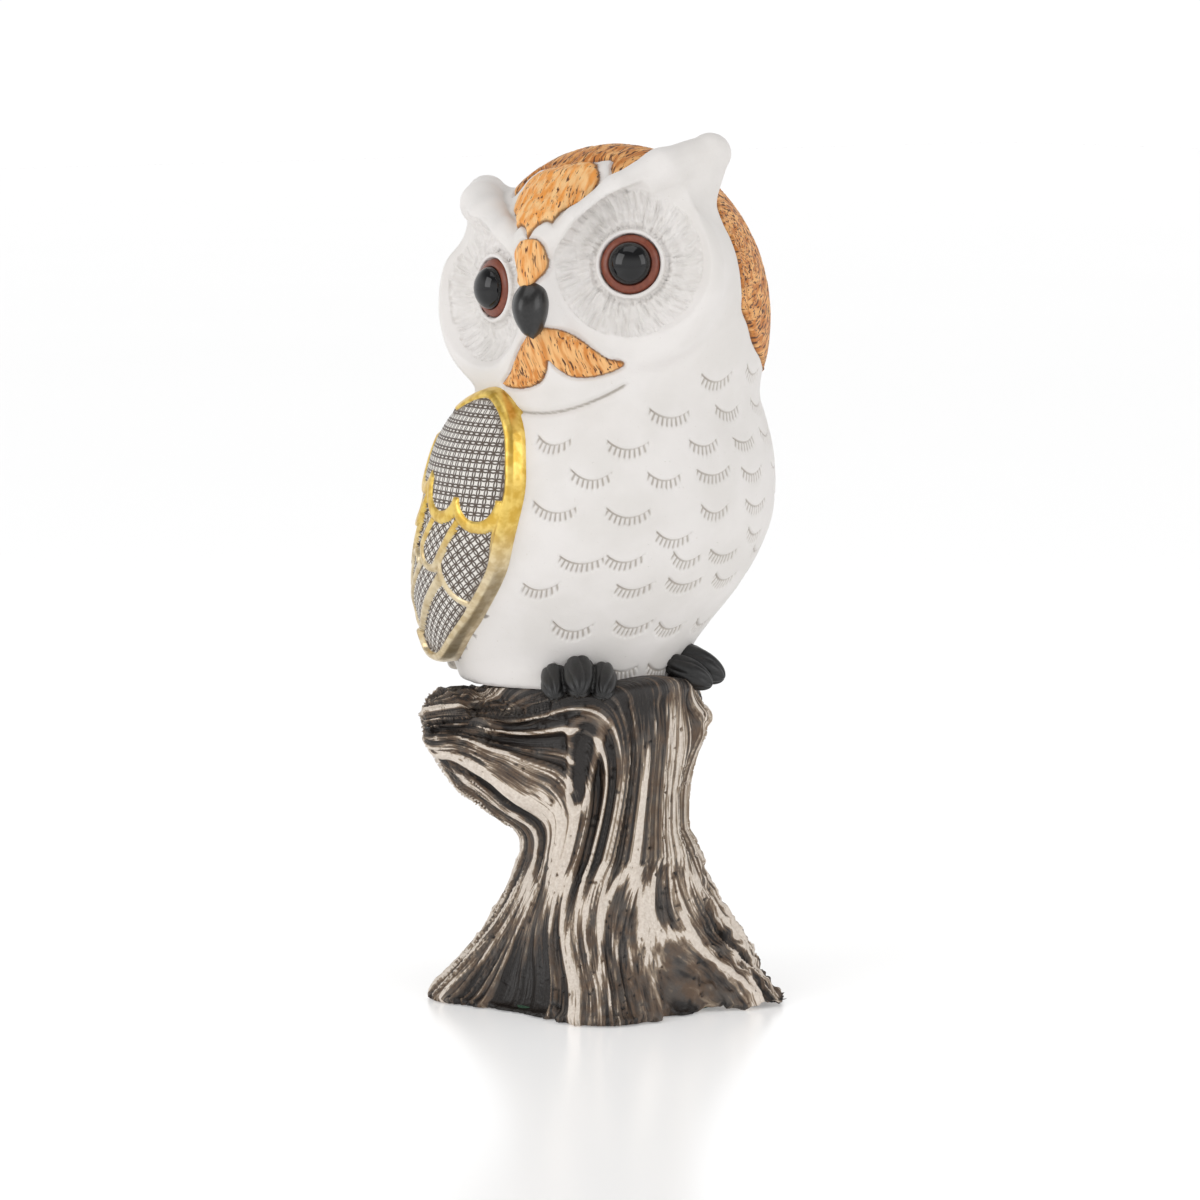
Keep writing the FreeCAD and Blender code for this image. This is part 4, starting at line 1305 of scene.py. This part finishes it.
class OWL_OT_stump(bpy.types.Operator):
    """Sculpts the tree stump and finishes its plug and felt pad"""

    bl_idname = "owl.stump"
    bl_label = "Tree stump"

    def execute(self, context):
        look = context.scene.owl_look
        finish_piece("stump_casting", shape_stump(), bark_paint(look), ["stump"])
        plug = speckled_paint("Grey cast resin plug", "#6E665E", "#7D756C", 0.5, 0.6)
        felt = speckled_paint("Green wool felt", "#2F4A38", "#41604B", 3.0, 0.95, 0.6)
        steel = speckled_paint("Drawn steel rod", "#B8B8B8", "#A8A8A8", 2.0, 0.3, 0.05, 1.0)
        for name, material in (("base_plug", plug), ("felt_pad", felt), ("body_pins", steel)):
            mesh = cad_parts[name].data
            mesh.materials.clear()
            mesh.materials.append(material)
        return {"FINISHED"}


class OWL_OT_body(bpy.types.Operator):
    """Sculpts the owl, marks and paints it, and parts it into body and head"""

    bl_idname = "owl.body"
    bl_label = "Body and head"

    def execute(self, context):
        whole = shape_owl()
        paint = owl_paint(context.scene.owl_look)
        finish_piece("owl_body", split_owl(whole, False), paint, ["body"])
        finish_piece("owl_head", split_owl(whole, True), paint, ["head"])
        bpy.data.meshes.remove(whole)
        return {"FINISHED"}


class OWL_OT_wings(bpy.types.Operator):
    """Sculpts both folded wings and the tail"""

    bl_idname = "owl.wings"
    bl_label = "Wings and tail"

    def execute(self, context):
        look = context.scene.owl_look
        paint = wing_paint(look)
        right = shape_wing(0.0)
        left = mirrored(shape_wing(LEFT_WING_BACK))
        finish_piece("wing_plate_right", right, paint, ["wing_right"])
        finish_piece("wing_plate_left", left, paint, ["wing_left"])
        finish_piece("tail_slab", shape_tail(), tail_paint(look), ["tail"])
        return {"FINISHED"}


class OWL_OT_feet(bpy.types.Operator):
    """Sculpts the two feet"""

    bl_idname = "owl.feet"
    bl_label = "Feet"

    def execute(self, context):
        satin = speckled_paint("Black satin paint", "#141414", "#1F1E1E", 1.5, 0.36, 0.15)
        for name, side in (("right", -1), ("left", 1)):
            finish_piece("claw_" + name, shape_foot(side), satin, ["foot_" + name])
        return {"FINISHED"}


class OWL_OT_face(bpy.types.Operator):
    """Turns the eyes and shapes the beak"""

    bl_idname = "owl.face"
    bl_label = "Eyes and beak"

    def execute(self, context):
        satin = speckled_paint("Black beak lacquer", "#151414", "#201F1F", 1.2, 0.3, 0.12, coat=0.2)
        brown = speckled_paint("Red-brown lacquer", "#84452F", "#733726", 0.8, 0.3, 0.05)
        black = speckled_paint("Black glass bead", "#030305", "#060609", 0.3, 0.06)
        finish_piece("beak_hook", shape_beak(), satin, ["beak"])
        for name, side in (("right", -1), ("left", 1)):
            finish_piece("eye_ring_" + name, shape_iris(side), brown, ["iris_" + name])
            finish_piece("eye_bead_" + name, shape_pupil(side), black, ["pupil_" + name])
        return {"FINISHED"}


class OWL_OT_stage(bpy.types.Operator):
    """Sets the pale floor, the soft lights and the camera"""

    bl_idname = "owl.stage"
    bl_label = "Stage"

    def execute(self, context):
        scene, stage = context.scene, context.scene.owl_stage
        shape = bmesh.new()
        bmesh.ops.create_grid(shape, x_segments=1, y_segments=1, size=6.0)
        mesh = to_mesh(shape, "floor")
        floor = bpy.data.objects.new("floor", mesh)
        scene.collection.objects.link(floor)
        material, tree, shader = new_material("White acrylic sweep")
        place = add(tree, "ShaderNodeTexCoord").outputs["Object"]
        cloud = speckle(tree, place, 2.0, 1.0)
        colour = mix(tree, cloud, linear("#FDFDFD"), linear("#FAFAFA"))
        tree.links.new(colour, shader.inputs["Base Color"])
        shader.inputs["Roughness"].default_value = 0.22
        shader.inputs["Emission Color"].default_value = (1, 1, 1, 1)
        shader.inputs["Emission Strength"].default_value = 0.25
        mesh.materials.append(material)
        world = bpy.data.worlds.new("studio")
        world.use_nodes = True
        sky = world.node_tree
        toward = add(sky, "ShaderNodeTexCoord").outputs["Generated"]
        way = add(sky, "ShaderNodeSeparateXYZ", {0: toward})
        light = ranged(sky, way.outputs[2], 0.25, 0.75, 1.03, 0.3)
        sky.links.new(light, sky.nodes["Background"].inputs["Strength"])
        sky.nodes["Background"].inputs["Color"].default_value = (1, 1, 1, 1)
        scene.world = world
        aim = Vector((0, 0, 0.13))
        # name, place, width, height and watts of each soft lamp
        lamps = (
            ("window left", (-1.2, 0.1, 0.75), 0.75, 0.95, 4.2),
            ("window right", (0.35, -1.25, 0.75), 0.65, 0.95, 3.0),
            ("top", (-0.2, -0.1, 1.4), 0.9, 0.9, 2.6),
        )
        for name, spot, wide, tall, power in lamps:
            lamp = bpy.data.lights.new(name, "AREA")
            lamp.shape, lamp.size, lamp.size_y, lamp.energy = "RECTANGLE", wide, tall, power
            light = bpy.data.objects.new(name, lamp)
            light.location = spot
            light.rotation_euler = (aim - Vector(spot)).to_track_quat("-Z", "Y").to_euler()
            scene.collection.objects.link(light)
        camera = bpy.data.objects.new("camera", bpy.data.cameras.new("camera"))
        camera.data.lens, camera.data.sensor_width = stage.lens, 36.0
        away = Vector((math.sin(stage.azimuth), -math.cos(stage.azimuth), 0))
        back = away * math.cos(stage.elevation) + Vector((0, 0, math.sin(stage.elevation)))
        right = Vector((-away.y, away.x, 0))
        up = back.cross(right)
        aim = Vector((0, 0, 0.125)) - up * 0.0079 - right * 0.00176
        camera.location = aim + back * stage.distance
        camera.rotation_euler = (-back).to_track_quat("-Z", "Y").to_euler()
        scene.collection.objects.link(camera)
        scene.camera = camera
        scene.view_settings.view_transform = "Standard"
        return {"FINISHED"}


class OWL_PT_panel(bpy.types.Panel):
    """Lists the owl's pieces, colours and stage"""

    bl_idname = "OWL_PT_panel"
    bl_label = "Resin owl"
    bl_space_type = "VIEW_3D"
    bl_region_type = "UI"
    bl_category = "Owl"

    def draw(self, context):
        for step in STEPS:
            self.layout.operator(step.bl_idname)
        for group in (context.scene.owl_look, context.scene.owl_stage):
            for name in group.__annotations__:
                self.layout.prop(group, name)


STEPS = (OWL_OT_stage, OWL_OT_stump, OWL_OT_body, OWL_OT_wings, OWL_OT_feet, OWL_OT_face)
CLASSES = (OwlLook, OwlStage, *STEPS, OWL_PT_panel)


def register():
    for item in CLASSES:
        bpy.utils.register_class(item)
    bpy.types.Scene.owl_look = PointerProperty(type=OwlLook)
    bpy.types.Scene.owl_stage = PointerProperty(type=OwlStage)


def unregister():
    del bpy.types.Scene.owl_stage
    del bpy.types.Scene.owl_look
    for item in reversed(CLASSES):
        bpy.utils.unregister_class(item)


def main():
    register()
    bpy.ops.owl.stage()
    bpy.ops.owl.stump()
    bpy.ops.owl.body()
    bpy.ops.owl.wings()
    bpy.ops.owl.feet()
    bpy.ops.owl.face()


if __name__ == "__main__":
    main()
